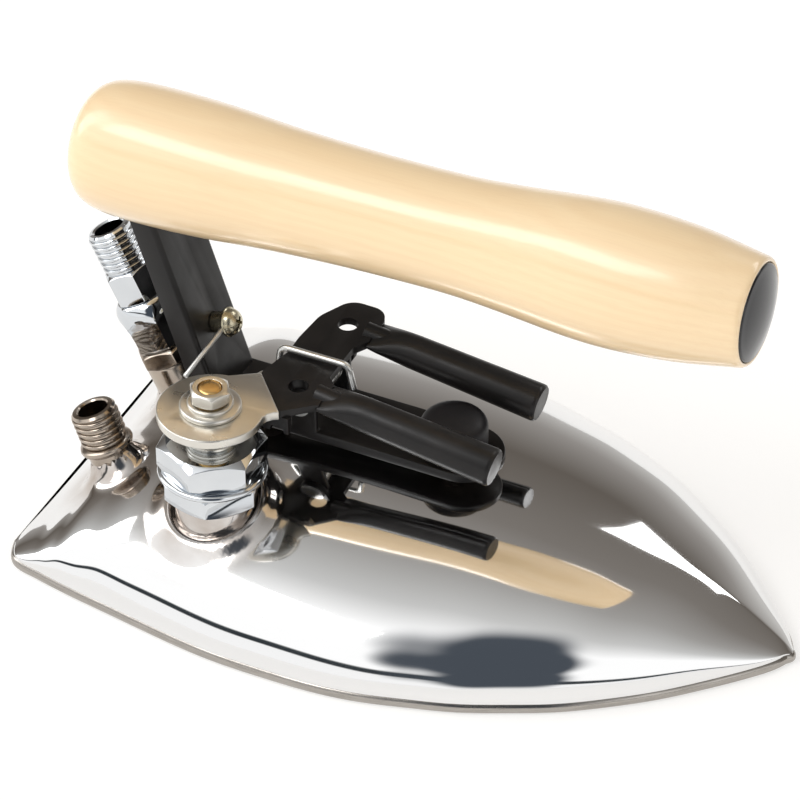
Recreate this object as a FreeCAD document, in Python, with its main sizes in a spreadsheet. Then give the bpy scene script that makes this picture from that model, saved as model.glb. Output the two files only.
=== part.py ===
"""Boiler-fed all-steam clothes iron, modelled as the separate pieces it is assembled from.

Frame: +X points to the nose, -Y to the side with the steam valve, +Z up. The origin is on the middle
line of the sole's lower face, 108 mm behind the nose tip. Lengths are millimetres. Driving dimensions are in the sheet.
"""
import FreeCAD, Part
import math
import os
import Sketcher

Vector = FreeCAD.Vector
Rotation = FreeCAD.Rotation
Placement = FreeCAD.Placement

SIZES = {
    # sole, shell and chamber
    "sole_thickness": 3.4,
    "sole_overhang": 0.8,
    "sole_chamfer": 0.9,
    "shell_wall": 1.5,
    "steam_hole_dia": 3.0,
    "chamber_inset": 0.84,
    "chamber_height": 5.0,
    "partition_thickness": 2.0,
    # valve stack, measured up from the sole's lower face
    "valve_x": -45.4,
    "valve_y": -35.9,
    "boss_dia": 21.0,
    "boss_bore": 16.4,
    "boss_foot": 19.0,
    "boss_top": 31.0,
    "boss_weld_dia": 32.0,
    "boss_weld_height": 25.3,
    "boss_weld_tilt": 15.5,
    "body_flats": 24.0,
    "body_top": 38.5,
    "spigot_dia": 16.2,
    "spigot_foot": 21.0,
    "ring_dia": 29.7,
    "ring_top": 40.4,
    "bonnet_flats": 25.8,
    "bonnet_top": 49.0,
    "bonnet_spigot_dia": 18.0,
    "bonnet_spigot_foot": 34.0,
    "gland_dia": 13.2,
    "gland_top": 53.3,
    "stem_dia": 6.0,
    "stem_end_dia": 6.5,
    "stem_foot": 17.0,
    "stem_top": 66.4,
    "stem_shoulder_dia": 8.0,
    "stem_shoulder_foot": 54.9,
    "stem_shoulder_top": 56.3,
    "disc_dia": 12.6,
    "washer_dia": 16.6,
    "nut_flats": 10.0,
    "nut_foot": 62.4,
    "nut_top": 66.2,
    # lever
    "lever_top": 56.7,
    "lever_thickness": 2.2,
    "arm_thickness": 2.7,
    "arm_radius": 14.4,
    "arm_hole_dia": 8.6,
    "pivot_x": -31.0,
    "pivot_z": 49.6,
    "pivot_dia": 4.0,
    "pivot_gap": 0.05,
    "pivot_length": 29.0,
    "grip_y": 15.0,
    "grip_drop": 7.6,
    "grip_length": 49.0,
    "grip_root_dia": 9.2,
    "grip_end_dia": 10.5,
    "tongue_dia": 6.0,
    # foot bar and knob
    "bar_width": 22.0,
    "bar_thickness": 3.0,
    "bar_top": 39.0,
    "bar_back": 68.0,
    "bar_front": 11.5,
    "lug_thickness": 2.0,
    "knob_x": 8.4,
    "knob_dia": 18.4,
    "knob_height": 10.5,
    "stud_dia": 5.0,
    "rear_stud_x": -47.0,
    "spacer_dia": 9.0,
    # bracket
    "bracket_width": 21.5,
    "bracket_depth": 7.2,
    "bracket_sheet": 2.5,
    "bracket_lean": 18.4,
    "bracket_foot_x": -56.9,
    "bracket_top": 113.0,
    # handle
    "handle_z": 108.65,
    "handle_tilt": 1.26,
    "rod_dia": 8.0,
    "cap_dia": 26.0,
    "cap_seat": 4.0,
    # pipe threads
    "pipe_dia": 13.16,
    "pipe_bore": 8.4,
    "nipple_x": -81.2,
    "nipple_y": -25.5,
    "nipple_z": 19.4,
    "nipple_tilt": 20.0,
    "nipple_length": 19.0,
    "inlet_x": -73.8,
    "inlet_y": 6.0,
    "inlet_z": 24.6,
    "inlet_tilt": 26.4,
}

os.makedirs("parts", exist_ok=True)
doc = FreeCAD.newDocument("Clothes_iron")
sheet = doc.addObject("Spreadsheet::Sheet", "Sizes")
for row, (alias, value) in enumerate(SIZES.items(), start=1):
    sheet.set(f"A{row}", alias)
    sheet.set(f"B{row}", str(value))
    sheet.setAlias(f"B{row}", alias)
doc.recompute()

pieces = []


def size(alias):
    """The number in one named cell of the sheet."""
    return float(sheet.get(alias))


def keep(piece, label):
    """Name a finished piece and list it for export."""
    piece.Label = label
    pieces.append(piece)
    return piece


def place(piece, x="0", y="0", z="0", tilt=None, spin=None):
    """Bind a piece's place to the sheet: tilt turns it about Y, spin about Z."""
    for axis, formula in zip("xyz", (x, y, z)):
        piece.setExpression(f"Placement.Base.{axis}", formula)
    if tilt is not None:
        piece.Placement.Rotation = Rotation(Vector(0, 1, 0), 1)
        piece.setExpression("Placement.Rotation.Angle", tilt)
    if spin is not None:
        piece.Placement.Rotation = Rotation(Vector(0, 0, 1), spin)


def plane_of(body, role):
    """One of a body's own origin planes."""
    return next(item for item in body.Origin.OriginFeatures if item.Role == role)


def outline(body, role, corners):
    """A closed sketch of straight lines; each corner is a pair of sheet formulas."""
    sketch = body.newObject("Sketcher::SketchObject", "Outline")
    sketch.AttachmentSupport = [(plane_of(body, role), "")]
    sketch.MapMode = "FlatFace"
    count = len(corners)
    start = [Vector(10 + math.cos(2 * math.pi * i / count), math.sin(2 * math.pi * i / count), 0)
             for i in range(count)]
    for i in range(count):
        sketch.addGeometry(Part.LineSegment(start[i], start[(i + 1) % count]), False)
    for i in range(count):
        sketch.addConstraint(Sketcher.Constraint("Coincident", i, 2, (i + 1) % count, 1))
    for i, (across, up) in enumerate(corners):
        for kind, formula in (("DistanceX", across), ("DistanceY", up)):
            number = sketch.addConstraint(Sketcher.Constraint(kind, -1, 1, i, 1, 1.0))
            sketch.setExpression(f"Constraints[{number}]", formula)
    return sketch


def turned(corners, name="Turned"):
    """A solid of revolution about Z from (radius, height) formulas."""
    body = doc.addObject("PartDesign::Body", name)
    sketch = outline(body, "XZ_Plane", corners)
    turn = body.newObject("PartDesign::Revolution", "Turn")
    turn.Profile = sketch
    turn.ReferenceAxis = (sketch, ["V_Axis"])
    turn.Angle = 360
    return body


def tube(outer, bore, foot, top, name="Tube"):
    """A plain tube, or a rod where the bore is None."""
    inside = f"{bore} / 2" if bore else "0"
    return turned([(inside, foot), (f"{outer} / 2", foot), (f"{outer} / 2", top), (inside, top)], name)


def hexagon(flats, foot, top, spin, envelope):
    """A hexagon bar trimmed to a turned envelope, which also gives it its bore and chamfers."""
    bar = doc.addObject("Part::Prism", "Hexagon")
    bar.Polygon = 6
    bar.setExpression("Circumradius", f"{flats} / 2 / cos(30)")
    bar.setExpression("Height", f"{top} - ({foot})")
    bar.setExpression("Placement.Base.z", foot)
    bar.Placement.Rotation = Rotation(Vector(0, 0, 1), spin)
    common = doc.addObject("Part::MultiCommon", "Hexagon_piece")
    common.Shapes = [bar, turned(envelope, "Envelope")]
    return common


def fixed(label, shape):
    """A piece whose shape is worked out with Part's own functions."""
    piece = doc.addObject("Part::Feature", label)
    piece.Shape = shape
    return keep(piece, label)


# ---------------------------------------------------------------- shell, sole and steam chamber
# Each station of the shell: x and half width on the rim, crown height over the rim, how far the
# crown runs ahead of the rim (+) or behind it (-), sharpness of the ridge, fullness of the arch.
STATIONS = [
    (106.2, 2.2, 0.0, 1.3, 0.40, 2.2),
    (104.6, 5.2, 1.9, 1.0, 0.40, 2.2),
    (100.5, 10.4, 5.4, 0.5, 0.38, 2.2),
    (90.5, 20.8, 12.2, 0.0, 0.28, 2.2),
    (80.4, 30.2, 16.8, 0.0, 0.17, 2.1),
    (70.0, 38.2, 20.1, 0.0, 0.09, 2.0),
    (59.0, 45.5, 22.9, 0.0, 0.03, 1.98),
    (47.4, 51.4, 25.0, 0.0, 0.0, 1.95),
    (35.6, 56.7, 26.7, 0.0, 0.0, 1.92),
    (23.0, 60.7, 27.8, 0.0, 0.0, 1.9),
    (10.4, 64.1, 28.4, 0.0, 0.0, 1.9),
    (-3.2, 66.0, 28.7, 0.0, 0.0, 1.9),
    (-17.7, 66.5, 28.7, 0.0, 0.0, 1.9),
    (-32.7, 66.2, 28.3, 0.0, 0.0, 1.9),
    (-48.8, 64.3, 27.3, 0.0, 0.0, 1.95),
    (-60.0, 62.5, 25.8, 0.0, 0.0, 2.05),
    (-69.0, 61.1, 23.5, 0.0, 0.0, 2.2),
    (-76.0, 60.0, 20.5, 0.0, 0.0, 2.2),
    (-82.0, 58.9, 17.2, 0.0, 0.0, 2.3),
    (-86.0, 58.1, 13.8, 0.1, 0.0, 2.3),
    (-89.2, 57.4, 10.6, 0.2, 0.0, 2.4),
    (-92.0, 56.9, 7.8, 0.3, 0.0, 2.4),
    (-94.5, 56.3, 5.6, 0.4, 0.0, 2.4),
    (-96.9, 55.1, 3.6, 0.5, 0.0, 2.4),
    (-98.9, 52.6, 1.9, 0.6, 0.0, 2.4),
    (-100.6, 48.0, 0.0, 0.8, 0.0, 2.4),
]
# The steam space inside starts and ends a little short of the shell's own ends.
INNER_NOSE = (99.0, 5.5, 0.0, 1.0, 0.3, 2.2)
INNER_HEEL = (-91.5, 50.0, 0.0, 0.3, 0.0, 2.4)
ACROSS = 12


def arch(across, ridge, fullness):
    """Relative height of the shell at a relative distance from its middle line."""
    side = abs(across)
    curve = max(0.0, 1 - side ** fullness) ** (1 / fullness)
    return 1 - ridge * side - (1 - ridge) * (1 - curve)


def station_points(station, rim):
    """Points over one arch of the shell, from the near rim to the far rim."""
    x, half_width, crown, lead, ridge, fullness = station
    points = []
    for i in range(-ACROSS, ACROSS + 1):
        across = math.sin(math.pi / 2 * i / ACROSS)
        points.append(Vector(x + lead * (1 - across ** 2), half_width * across,
                             rim + crown * arch(across, ridge, fullness)))
    return points


def dome(stations, rim):
    """A closed solid under the curved surface through the stations."""
    surface = Part.BSplineSurface()
    surface.interpolate([station_points(station, rim) for station in stations])
    top = surface.toShape()
    floor = Part.Face(Part.Wire(Part.sortEdges(top.Edges)[0]))
    return Part.Solid(Part.Shell([top, floor]))


def outline_face(inset_scale, height):
    """The flat outline of the iron at a height, scaled from the shell's rim."""
    side = [Vector(x * inset_scale, half * inset_scale, height)
            for x, half, *_ in STATIONS]
    nose = Vector((STATIONS[0][0] + STATIONS[0][3]) * inset_scale, 0, height)
    heel = Vector((STATIONS[-1][0] + STATIONS[-1][3]) * inset_scale, 0, height)
    far = Part.BSplineCurve()
    far.interpolate(side)
    near = Part.BSplineCurve()
    near.interpolate([Vector(point.x, -point.y, point.z) for point in side])
    mirrored = [Vector(point.x, -point.y, point.z) for point in (side[0], side[-1])]
    tip = Part.Arc(side[0], nose, mirrored[0])
    back = Part.Arc(side[-1], heel, mirrored[1])
    wire = Part.Wire(Part.sortEdges([far.toShape(), tip.toShape(), near.toShape(), back.toShape()])[0])
    return Part.Face(wire)


rim = size("sole_thickness")
wall = size("shell_wall")
shell_outer = dome(STATIONS, rim)
inner_stations = [INNER_NOSE]
inner_stations += [(x, half - wall, crown - wall, lead, ridge, fullness)
                   for x, half, crown, lead, ridge, fullness in STATIONS if crown > 9.0]
inner_stations += [INNER_HEEL]
shell_inner = dome(inner_stations, rim)


def along(start, tilt, distance):
    """The point at a distance up an axis that leans back from a start point."""
    lean = math.radians(tilt)
    return start + Vector(-math.sin(lean), 0, math.cos(lean)) * distance


def rod_between(start, end, radius):
    """A round bar between two points."""
    return Part.makeCylinder(radius, (end - start).Length, start, end - start)


valve_axis = Vector(size("valve_x"), size("valve_y"), 0)
nipple_foot = Vector(size("nipple_x"), size("nipple_y"), size("nipple_z"))
inlet_foot = Vector(size("inlet_x"), size("inlet_y"), size("inlet_z"))
INLET_SOCKET_RADIUS = 8.4
boss_opening = Part.makeCylinder(size("boss_dia") / 2, 40, valve_axis)
nipple_opening = rod_between(along(nipple_foot, size("nipple_tilt"), -8),
                             along(nipple_foot, size("nipple_tilt"), 12), size("pipe_dia") / 2)
inlet_opening = rod_between(along(inlet_foot, size("inlet_tilt"), -12),
                            along(inlet_foot, size("inlet_tilt"), 12), INLET_SOCKET_RADIUS)
shell_shape = shell_outer.cut(shell_inner)
for opening in (boss_opening, nipple_opening, inlet_opening):
    shell_shape = shell_shape.cut(opening)
fixed("shell", shell_shape)

# Sole plate: a flat plate a little larger than the shell's rim, with chamfered edges and steam holes.
sole_scale = 1 + size("sole_overhang") / 107
sole_shape = outline_face(sole_scale, 0).extrude(Vector(0, 0, rim))
flat_edges = [edge for edge in sole_shape.Edges if edge.BoundBox.ZLength < 0.01]
sole_shape = sole_shape.makeChamfer(size("sole_chamfer"), flat_edges)
hole_radius = size("steam_hole_dia") / 2
FIRST_ROW_X = 66
ROW_STEP = 26
WIDEST_ROW = 40.0
INNER_ROW_BACK = 10
INNER_ROW_SHARE = 0.55
steam_holes = []
for row in range(5):
    x = FIRST_ROW_X - ROW_STEP * row
    reach = min(0.52 * (108 - x) ** 0.86, WIDEST_ROW)
    for side in (-1, 1):
        steam_holes.append(Vector(x, side * reach, 0))
        steam_holes.append(Vector(x - INNER_ROW_BACK, side * reach * INNER_ROW_SHARE, 0))
steam_holes += [Vector(78 - 14 * i, 0, 0) for i in range(3)]
drills = [Part.makeCylinder(hole_radius, rim, hole) for hole in steam_holes]
fixed("sole_plate", sole_shape.cut(Part.makeCompound(drills)))

# Chamber under the partition: a welded rim bar and a flat plate with one feed opening.
inset = size("chamber_inset")
chamber_top = rim + size("chamber_height")
plate_top = chamber_top + size("partition_thickness")
chamber_outer = outline_face(inset, rim).extrude(Vector(0, 0, size("chamber_height")))
chamber_space = outline_face(inset * 0.93, rim).extrude(Vector(0, 0, size("chamber_height")))
fixed("chamber_rim", chamber_outer.cut(chamber_space))
FEED_BORE = 2.0
FEED_OUTER = 2.7
PORT_HEIGHT = 23.8
feed_axis = valve_axis + Vector(0, size("boss_dia") / 2 + 6.5, 0)
partition = outline_face(inset, chamber_top).extrude(Vector(0, 0, size("partition_thickness")))
partition = partition.cut(Part.makeCylinder(FEED_BORE, 30, feed_axis))
fixed("partition_plate", partition)


# ---------------------------------------------------------------- steam valve
def elbow(radius):
    """Solid along the feed tube's path: up from the partition, then over into the boss."""
    bend = 4.2
    low = feed_axis + Vector(0, 0, plate_top)
    corner = feed_axis + Vector(0, 0, PORT_HEIGHT)
    mid = corner + Vector(0, -bend * (1 - math.sqrt(0.5)), -bend * (1 - math.sqrt(0.5)))
    rise = Part.LineSegment(low, corner - Vector(0, 0, bend)).toShape()
    turn = Part.Arc(corner - Vector(0, 0, bend), mid, corner - Vector(0, bend, 0)).toShape()
    run = Part.LineSegment(corner - Vector(0, bend, 0), corner - Vector(0, 9.0, 0)).toShape()
    path = Part.Wire([rise, turn, run])
    section = Part.Wire([Part.makeCircle(radius, low, Vector(0, 0, 1))])
    return path.makePipeShell([section], True, False)


feed_solid = elbow(FEED_OUTER)
feed_space = elbow(FEED_BORE)
boss_round = Part.makeCylinder(size("boss_dia") / 2, 60, valve_axis)
fixed("feed_tube", feed_solid.cut(feed_space).cut(boss_round))

boss_radius = size("boss_dia") / 2
boss_bore_radius = size("boss_bore") / 2
boss_tube = Part.makeCylinder(boss_radius, size("boss_top") - size("boss_foot"),
                              valve_axis + Vector(0, 0, size("boss_foot")))
weld_centre = valve_axis + Vector(0, 0, size("boss_weld_height"))
weld_radius = size("boss_weld_dia") / 2


def weld_bead(profile, place):
    """A ring of weld metal, turned from (radius, height) pairs about a leaning axis."""
    points = [Vector(radius, 0, height) for radius, height in profile]
    bead = Part.Face(Part.makePolygon(points + points[:1])).revolve(Vector(0, 0, 0), Vector(0, 0, 1), 360)
    bead.Placement = place
    return bead


boss_weld = weld_bead([
    (boss_bore_radius, -4.0), (weld_radius, -4.0), (weld_radius, -1.2), (weld_radius - 1.6, 0.1),
    (weld_radius - 3.6, 0.8), (boss_radius + 0.7, 1.7), (boss_radius - 0.3, 2.8),
    (boss_bore_radius, 2.8),
], Placement(weld_centre, Rotation(Vector(1, 0, 0), size("boss_weld_tilt"))))
boss_bore = Part.makeCylinder(boss_bore_radius, 60, valve_axis)
over_boss = Part.makeCylinder(2 * boss_radius, 20, valve_axis + Vector(0, 0, size("boss_top")))
boss_shape = boss_tube.fuse(boss_weld).cut(boss_bore).cut(over_boss).cut(shell_outer.cut(boss_round))
boss_port = rod_between(valve_axis + Vector(0, 0, PORT_HEIGHT), valve_axis + Vector(0, 12, PORT_HEIGHT),
                        FEED_BORE)
boss_shape = boss_shape.cut(boss_port)
fixed("valve_boss", max(boss_shape.Solids, key=lambda solid: solid.Volume))


def on_valve(piece, label):
    """Put a piece on the valve's upright axis."""
    place(piece, "Sizes.valve_x", "Sizes.valve_y")
    return keep(piece, label)


def cell(alias):
    """A sheet cell as it is written in a formula."""
    return f"Sizes.{alias}"


VALVE_SPIN = 33.5
valve_body = hexagon(cell("body_flats"), cell("boss_top"), cell("body_top"), VALVE_SPIN + 15, [
    ("5", cell("boss_top")),
    (cell("body_flats") + " / 2 + 0.6", cell("boss_top")),
    (cell("body_flats") + " / 2 + 1.9", cell("boss_top") + " + 1"),
    (cell("body_flats") + " / 2 + 1.9", cell("body_top") + " - 1"),
    (cell("body_flats") + " / 2 + 0.6", cell("body_top")),
    (cell("bonnet_spigot_dia") + " / 2 + 0.1", cell("body_top")),
    (cell("bonnet_spigot_dia") + " / 2 + 0.1", cell("bonnet_spigot_foot") + " - 0.2"),
    ("5", cell("bonnet_spigot_foot") + " - 0.2"),
])
on_valve(valve_body, "valve_body")
spigot = turned([
    ("5", cell("spigot_foot") + " + 2"),
    (cell("spigot_dia") + " / 2", cell("spigot_foot") + " + 2"),
    (cell("spigot_dia") + " / 2", cell("boss_top")),
    ("5", cell("boss_top")),
], "Spigot")
spigot_port = doc.addObject("Part::Cylinder", "Port")
spigot_port.Radius = FEED_BORE
spigot_port.setExpression("Height", cell("spigot_dia"))
spigot_port.Placement = Placement(Vector(0, 0, PORT_HEIGHT), Rotation(Vector(1, 0, 0), -90))
ported = doc.addObject("Part::Cut", "Ported_spigot")
ported.Base = spigot
ported.Tool = spigot_port
on_valve(ported, "valve_cage")
on_valve(tube(cell("spigot_dia"), "8.4", cell("spigot_foot"), cell("spigot_foot") + " + 2", "Seat"),
         "valve_seat")
on_valve(turned([
    (cell("bonnet_spigot_dia") + " / 2 + 0.1", cell("body_top")),
    (cell("ring_dia") + " / 2 - 0.5", cell("body_top")),
    (cell("ring_dia") + " / 2", cell("body_top") + " + 0.5"),
    (cell("ring_dia") + " / 2", cell("ring_top") + " - 0.5"),
    (cell("ring_dia") + " / 2 - 0.5", cell("ring_top")),
    (cell("bonnet_spigot_dia") + " / 2 + 0.1", cell("ring_top")),
], "Ring"), "sealing_ring")
bonnet_hex = hexagon(cell("bonnet_flats"), cell("ring_top"), cell("bonnet_top"), VALVE_SPIN, [
    ("5", cell("ring_top")),
    (cell("bonnet_flats") + " / 2 + 0.6", cell("ring_top")),
    (cell("bonnet_flats") + " / 2 + 2.1", cell("ring_top") + " + 1.1"),
    (cell("bonnet_flats") + " / 2 + 2.1", cell("bonnet_top") + " - 1.8"),
    (cell("bonnet_flats") + " / 2 - 0.6", cell("bonnet_top")),
    ("4.5", cell("bonnet_top")),
    ("4.5", "45"),
    ("3.1", "45"),
    ("3.1", "43"),
    ("5", "43"),
])
bonnet_spigot = tube(cell("bonnet_spigot_dia"), "10", cell("bonnet_spigot_foot"), cell("ring_top"))
bonnet = doc.addObject("Part::Fuse", "Bonnet")
bonnet.Base = bonnet_hex
bonnet.Tool = bonnet_spigot
on_valve(bonnet, "valve_bonnet")
on_valve(tube("8.8", "6.1", "45", "46.5", "Packing"), "gland_packing")
on_valve(turned([
    ("3.1", "46.5"),
    ("4.4", "46.5"),
    ("4.4", cell("bonnet_top")),
    (cell("gland_dia") + " / 2", cell("bonnet_top")),
    (cell("gland_dia") + " / 2", cell("gland_top") + " - 0.5"),
    (cell("gland_dia") + " / 2 - 0.5", cell("gland_top")),
    ("3.1", cell("gland_top")),
], "Gland"), "gland_nut")

on_valve(turned([
    ("0", cell("stem_foot")),
    ("5", cell("stem_foot")),
    ("5", cell("stem_foot") + " + 1.6"),
    (cell("stem_dia") + " / 2", cell("stem_foot") + " + 1.6"),
    (cell("stem_dia") + " / 2", "38.2"),
    ("4.4", "38.2"),
    ("4.4", "39.6"),
    (cell("stem_dia") + " / 2", "39.6"),
    (cell("stem_dia") + " / 2", cell("stem_shoulder_foot")),
    (cell("stem_shoulder_dia") + " / 2", cell("stem_shoulder_foot")),
    (cell("stem_shoulder_dia") + " / 2", cell("stem_shoulder_top")),
    (cell("stem_end_dia") + " / 2", cell("stem_shoulder_top")),
    (cell("stem_end_dia") + " / 2", cell("stem_top") + " - 0.7"),
    (cell("stem_end_dia") + " / 2 - 0.7", cell("stem_top")),
    ("0", cell("stem_top")),
], "Stem"), "valve_stem")
on_valve(tube(cell("disc_dia"), cell("stem_dia"), cell("stem_foot") + " + 1.6",
              cell("spigot_foot"), "Disc"), "valve_disc")
on_valve(hexagon(cell("nut_flats"), cell("nut_foot"), cell("nut_top"), 3.5, [
    (cell("stem_end_dia") + " / 2", cell("nut_foot")),
    (cell("nut_flats") + " / 2 + 0.1", cell("nut_foot")),
    (cell("nut_flats") + " / 2 + 0.8", cell("nut_foot") + " + 0.5"),
    (cell("nut_flats") + " / 2 + 0.8", cell("nut_top") + " - 0.6"),
    (cell("nut_flats") + " / 2 - 0.2", cell("nut_top")),
    (cell("stem_end_dia") + " / 2", cell("nut_top")),
]), "stem_nut")
arm_top = cell("lever_top") + " + " + cell("arm_thickness")
on_valve(turned([
    (cell("arm_hole_dia") + " / 2", arm_top),
    (cell("washer_dia") + " / 2 - 0.4", arm_top),
    (cell("washer_dia") + " / 2", arm_top + " + 0.4"),
    (cell("washer_dia") + " / 2", arm_top + " + 1.1"),
    (cell("washer_dia") + " / 2 - 0.5", arm_top + " + 1.5"),
    (cell("arm_hole_dia") + " / 2", arm_top + " + 1.5"),
], "Washer"), "wide_washer")
on_valve(turned([
    (cell("arm_hole_dia") + " / 2", arm_top + " + 1.5"),
    ("6.2", arm_top + " + 1.5"),
    ("6.2", arm_top + " + 2.2"),
    ("5.9", arm_top + " + 2.5"),
    (cell("arm_hole_dia") + " / 2", arm_top + " + 2.5"),
], "Washer"), "narrow_washer")

SPRING_WIRE = 0.45
SPRING_RADIUS = 3.75
SPRING_PITCH = 2.4
SPRING_LENGTH = 12.4
SPRING_FOOT = 24.6
helix = Part.makeHelix(SPRING_PITCH, SPRING_LENGTH, SPRING_RADIUS)
ring = Part.Wire([Part.makeCircle(SPRING_WIRE, Vector(SPRING_RADIUS, 0, 0), Vector(0, 1, 0))])
coil = Part.Wire(helix).makePipeShell([ring], True, True)
coil.translate(valve_axis + Vector(0, 0, SPRING_FOOT))
fixed("valve_spring", coil)

# ---------------------------------------------------------------- lever, arm and pivot
lever_foot = size("lever_top") - size("lever_thickness")
LEVER_OUTLINE = [
    (-21.8, 20.0), (-23.6, 24.8), (-34.0, 25.0), (-38.8, 15.0), (-39.6, 4.0), (-39.3, -2.5),
    (-41.7, -13.0), (-41.0, -22.0), (-36.0, -26.4), (-29.6, -26.4), (-23.4, -21.0),
    (-21.8, -19.8), (-21.8, -10.4), (-24.4, -8.0), (-24.4, 6.0), (-21.8, 10.4),
]
LEVER_CORNERS = {(-23.6, 24.8): 4.8, (-34.0, 25.0): 5.5, (-38.8, 15.0): 9.0, (-24.4, 6.0): 2.0,
                 (-24.4, -8.0): 2.0, (-41.0, -22.0): 3.0, (-36.0, -26.4): 3.0}


def flat_plate(corners, foot, thickness, rounds):
    """A flat plate with some of its corners rounded."""
    points = [Vector(x, y, foot) for x, y in corners]
    solid = Part.Face(Part.makePolygon(points + points[:1])).extrude(Vector(0, 0, thickness))
    for (x, y), radius in rounds.items():
        upright = [edge for edge in solid.Edges if edge.BoundBox.ZLength > thickness / 2
                   and math.hypot(edge.BoundBox.Center.x - x, edge.BoundBox.Center.y - y) < 0.05]
        solid = solid.makeFillet(radius, upright)
    return solid


def lug(y, thickness, foot, top, radius):
    """An upright ear round the pivot, from a foot height to a top height."""
    x = size("pivot_x")
    z = size("pivot_z")
    eye = Part.makeCylinder(radius, thickness, Vector(x, y, z), Vector(0, 1, 0))
    block = Part.makeBox(2 * radius, thickness, top - foot, Vector(x - radius, y, foot))
    return eye.fuse(block)


pivot_hole_radius = size("pivot_dia") / 2 + size("pivot_gap")
pivot_hole = Part.makeCylinder(pivot_hole_radius, 60, Vector(size("pivot_x"), -30, size("pivot_z")),
                               Vector(0, 1, 0))
drop = math.radians(size("grip_drop"))
slope = Vector(math.cos(drop), 0, -math.sin(drop))
lever_shape = flat_plate(LEVER_OUTLINE, lever_foot, size("lever_thickness"), LEVER_CORNERS)
EAR_HOLE_RADIUS = 2.8
EAR_HOLE_X = -30.2
EAR_HOLE_Y = 14.9
EAR_Y = 12.6
EAR_THICKNESS = 2.0
EAR_RADIUS = 4.2
TONGUE_LENGTH = 40
TONGUE_SET_BACK = 2.4
grip_roots = []
for side in (-1, 1):
    root = Vector(-22.4, side * size("grip_y"), 55.4)
    grip_roots.append(root)
    tongue = Part.makeCylinder(size("tongue_dia") / 2, TONGUE_LENGTH, root - slope * TONGUE_SET_BACK, slope)
    lever_shape = lever_shape.fuse(tongue)
    ear_foot = EAR_Y * side - EAR_THICKNESS / 2
    lever_shape = lever_shape.fuse(lug(ear_foot, EAR_THICKNESS, size("pivot_z"), lever_foot, EAR_RADIUS))
    hole_foot = Vector(EAR_HOLE_X, side * EAR_HOLE_Y, lever_foot - 1)
    lever_shape = lever_shape.cut(Part.makeCylinder(EAR_HOLE_RADIUS, 4, hole_foot))
FLANGE_DEPTH = 5.2
flange = Part.makeBox(9.0, 1.8, FLANGE_DEPTH, Vector(-36.6, -26.4, lever_foot - FLANGE_DEPTH))
lever_shape = lever_shape.fuse(flange).cut(pivot_hole).removeSplitter()
fixed("lever_plate", lever_shape)

GRIP_START = 0.9
for label, root in zip(("near_grip", "far_grip"), grip_roots):
    start = root + slope * GRIP_START
    length = size("grip_length")
    sleeve = Part.makeCone(size("grip_root_dia") / 2, size("grip_end_dia") / 2, length, start, slope)
    end_edges = [edge for edge in sleeve.Edges if edge.Closed]
    end_edges.sort(key=lambda edge: edge.BoundBox.Center.x)
    sleeve = sleeve.makeChamfer(0.8, end_edges[-1:])
    bore = Part.makeCylinder(size("tongue_dia") / 2, TONGUE_LENGTH - TONGUE_SET_BACK, root, slope)
    fixed(label, sleeve.cut(bore))

ARM_NECK = [(-47.6, -21.8), (-40.1, -16.9), (-28.2, -30.0), (-29.6, -30.9), (-30.7, -32.1), (-31.3, -33.8),
            (-45.0, -34.0)]
neck_points = [Vector(x, y, size("lever_top")) for x, y in ARM_NECK]
arm_shape = Part.Face(Part.makePolygon(neck_points + neck_points[:1]))
arm_shape = arm_shape.extrude(Vector(0, 0, size("arm_thickness")))
arm_base = valve_axis + Vector(0, 0, size("lever_top"))
arm_shape = arm_shape.fuse(Part.makeCylinder(size("arm_radius"), size("arm_thickness"), arm_base))
arm_shape = arm_shape.cut(Part.makeCylinder(size("arm_hole_dia") / 2, 10, arm_base))
fixed("valve_arm", arm_shape.removeSplitter())

pivot_pin = tube(cell("pivot_dia"), None, "-" + cell("pivot_length") + " / 2",
                 cell("pivot_length") + " / 2", "Pin")
pivot_pin.Placement.Rotation = Rotation(Vector(1, 0, 0), -90)
pivot_pin.setExpression("Placement.Base.x", cell("pivot_x"))
pivot_pin.setExpression("Placement.Base.z", cell("pivot_z"))
keep(pivot_pin, "pivot_pin")
CLIP_RADIUS = 3.6
CLIP_THICKNESS = 0.8
CLIP_Y = 14.1
clips = []
for side in (-1, 1):
    centre = Vector(size("pivot_x"), side * CLIP_Y - CLIP_THICKNESS / 2, size("pivot_z"))
    disc = Part.makeCylinder(CLIP_RADIUS, CLIP_THICKNESS, centre, Vector(0, 1, 0))
    clips.append(disc.cut(Part.makeCylinder(size("pivot_dia") / 2, CLIP_THICKNESS, centre, Vector(0, 1, 0))))
fixed("pin_clips", Part.makeCompound(clips))

# Return spring: a coil round the pin whose leg passes over the lever and hooks its front edge.
COIL_RADIUS = 3.4
COIL_WIRE_RADIUS = 0.8
COIL_PITCH = 1.8
COIL_LENGTH = 5.4
COIL_Y = 4.2
LEG_WIRE_RADIUS = 1.0
LEG_Y = -3.0
helix = Part.makeHelix(COIL_PITCH, COIL_LENGTH, COIL_RADIUS)
ring = Part.Wire([Part.makeCircle(COIL_WIRE_RADIUS, Vector(COIL_RADIUS, 0, 0), Vector(0, 1, 0))])
coil = Part.Wire(helix).makePipeShell([ring], True, True)
coil.Placement = Placement(Vector(size("pivot_x"), COIL_Y, size("pivot_z")), Rotation(Vector(1, 0, 0), 90))
fixed("spring_coil", coil)
LEG_PATH = [(-36.8, 49.2), (-42.4, 49.2), (-41.4, 58.0), (-21.4, 58.2), (-19.7, 50.6)]
LEG_BENDS = [1.6, 2.4, 2.0]


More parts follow.
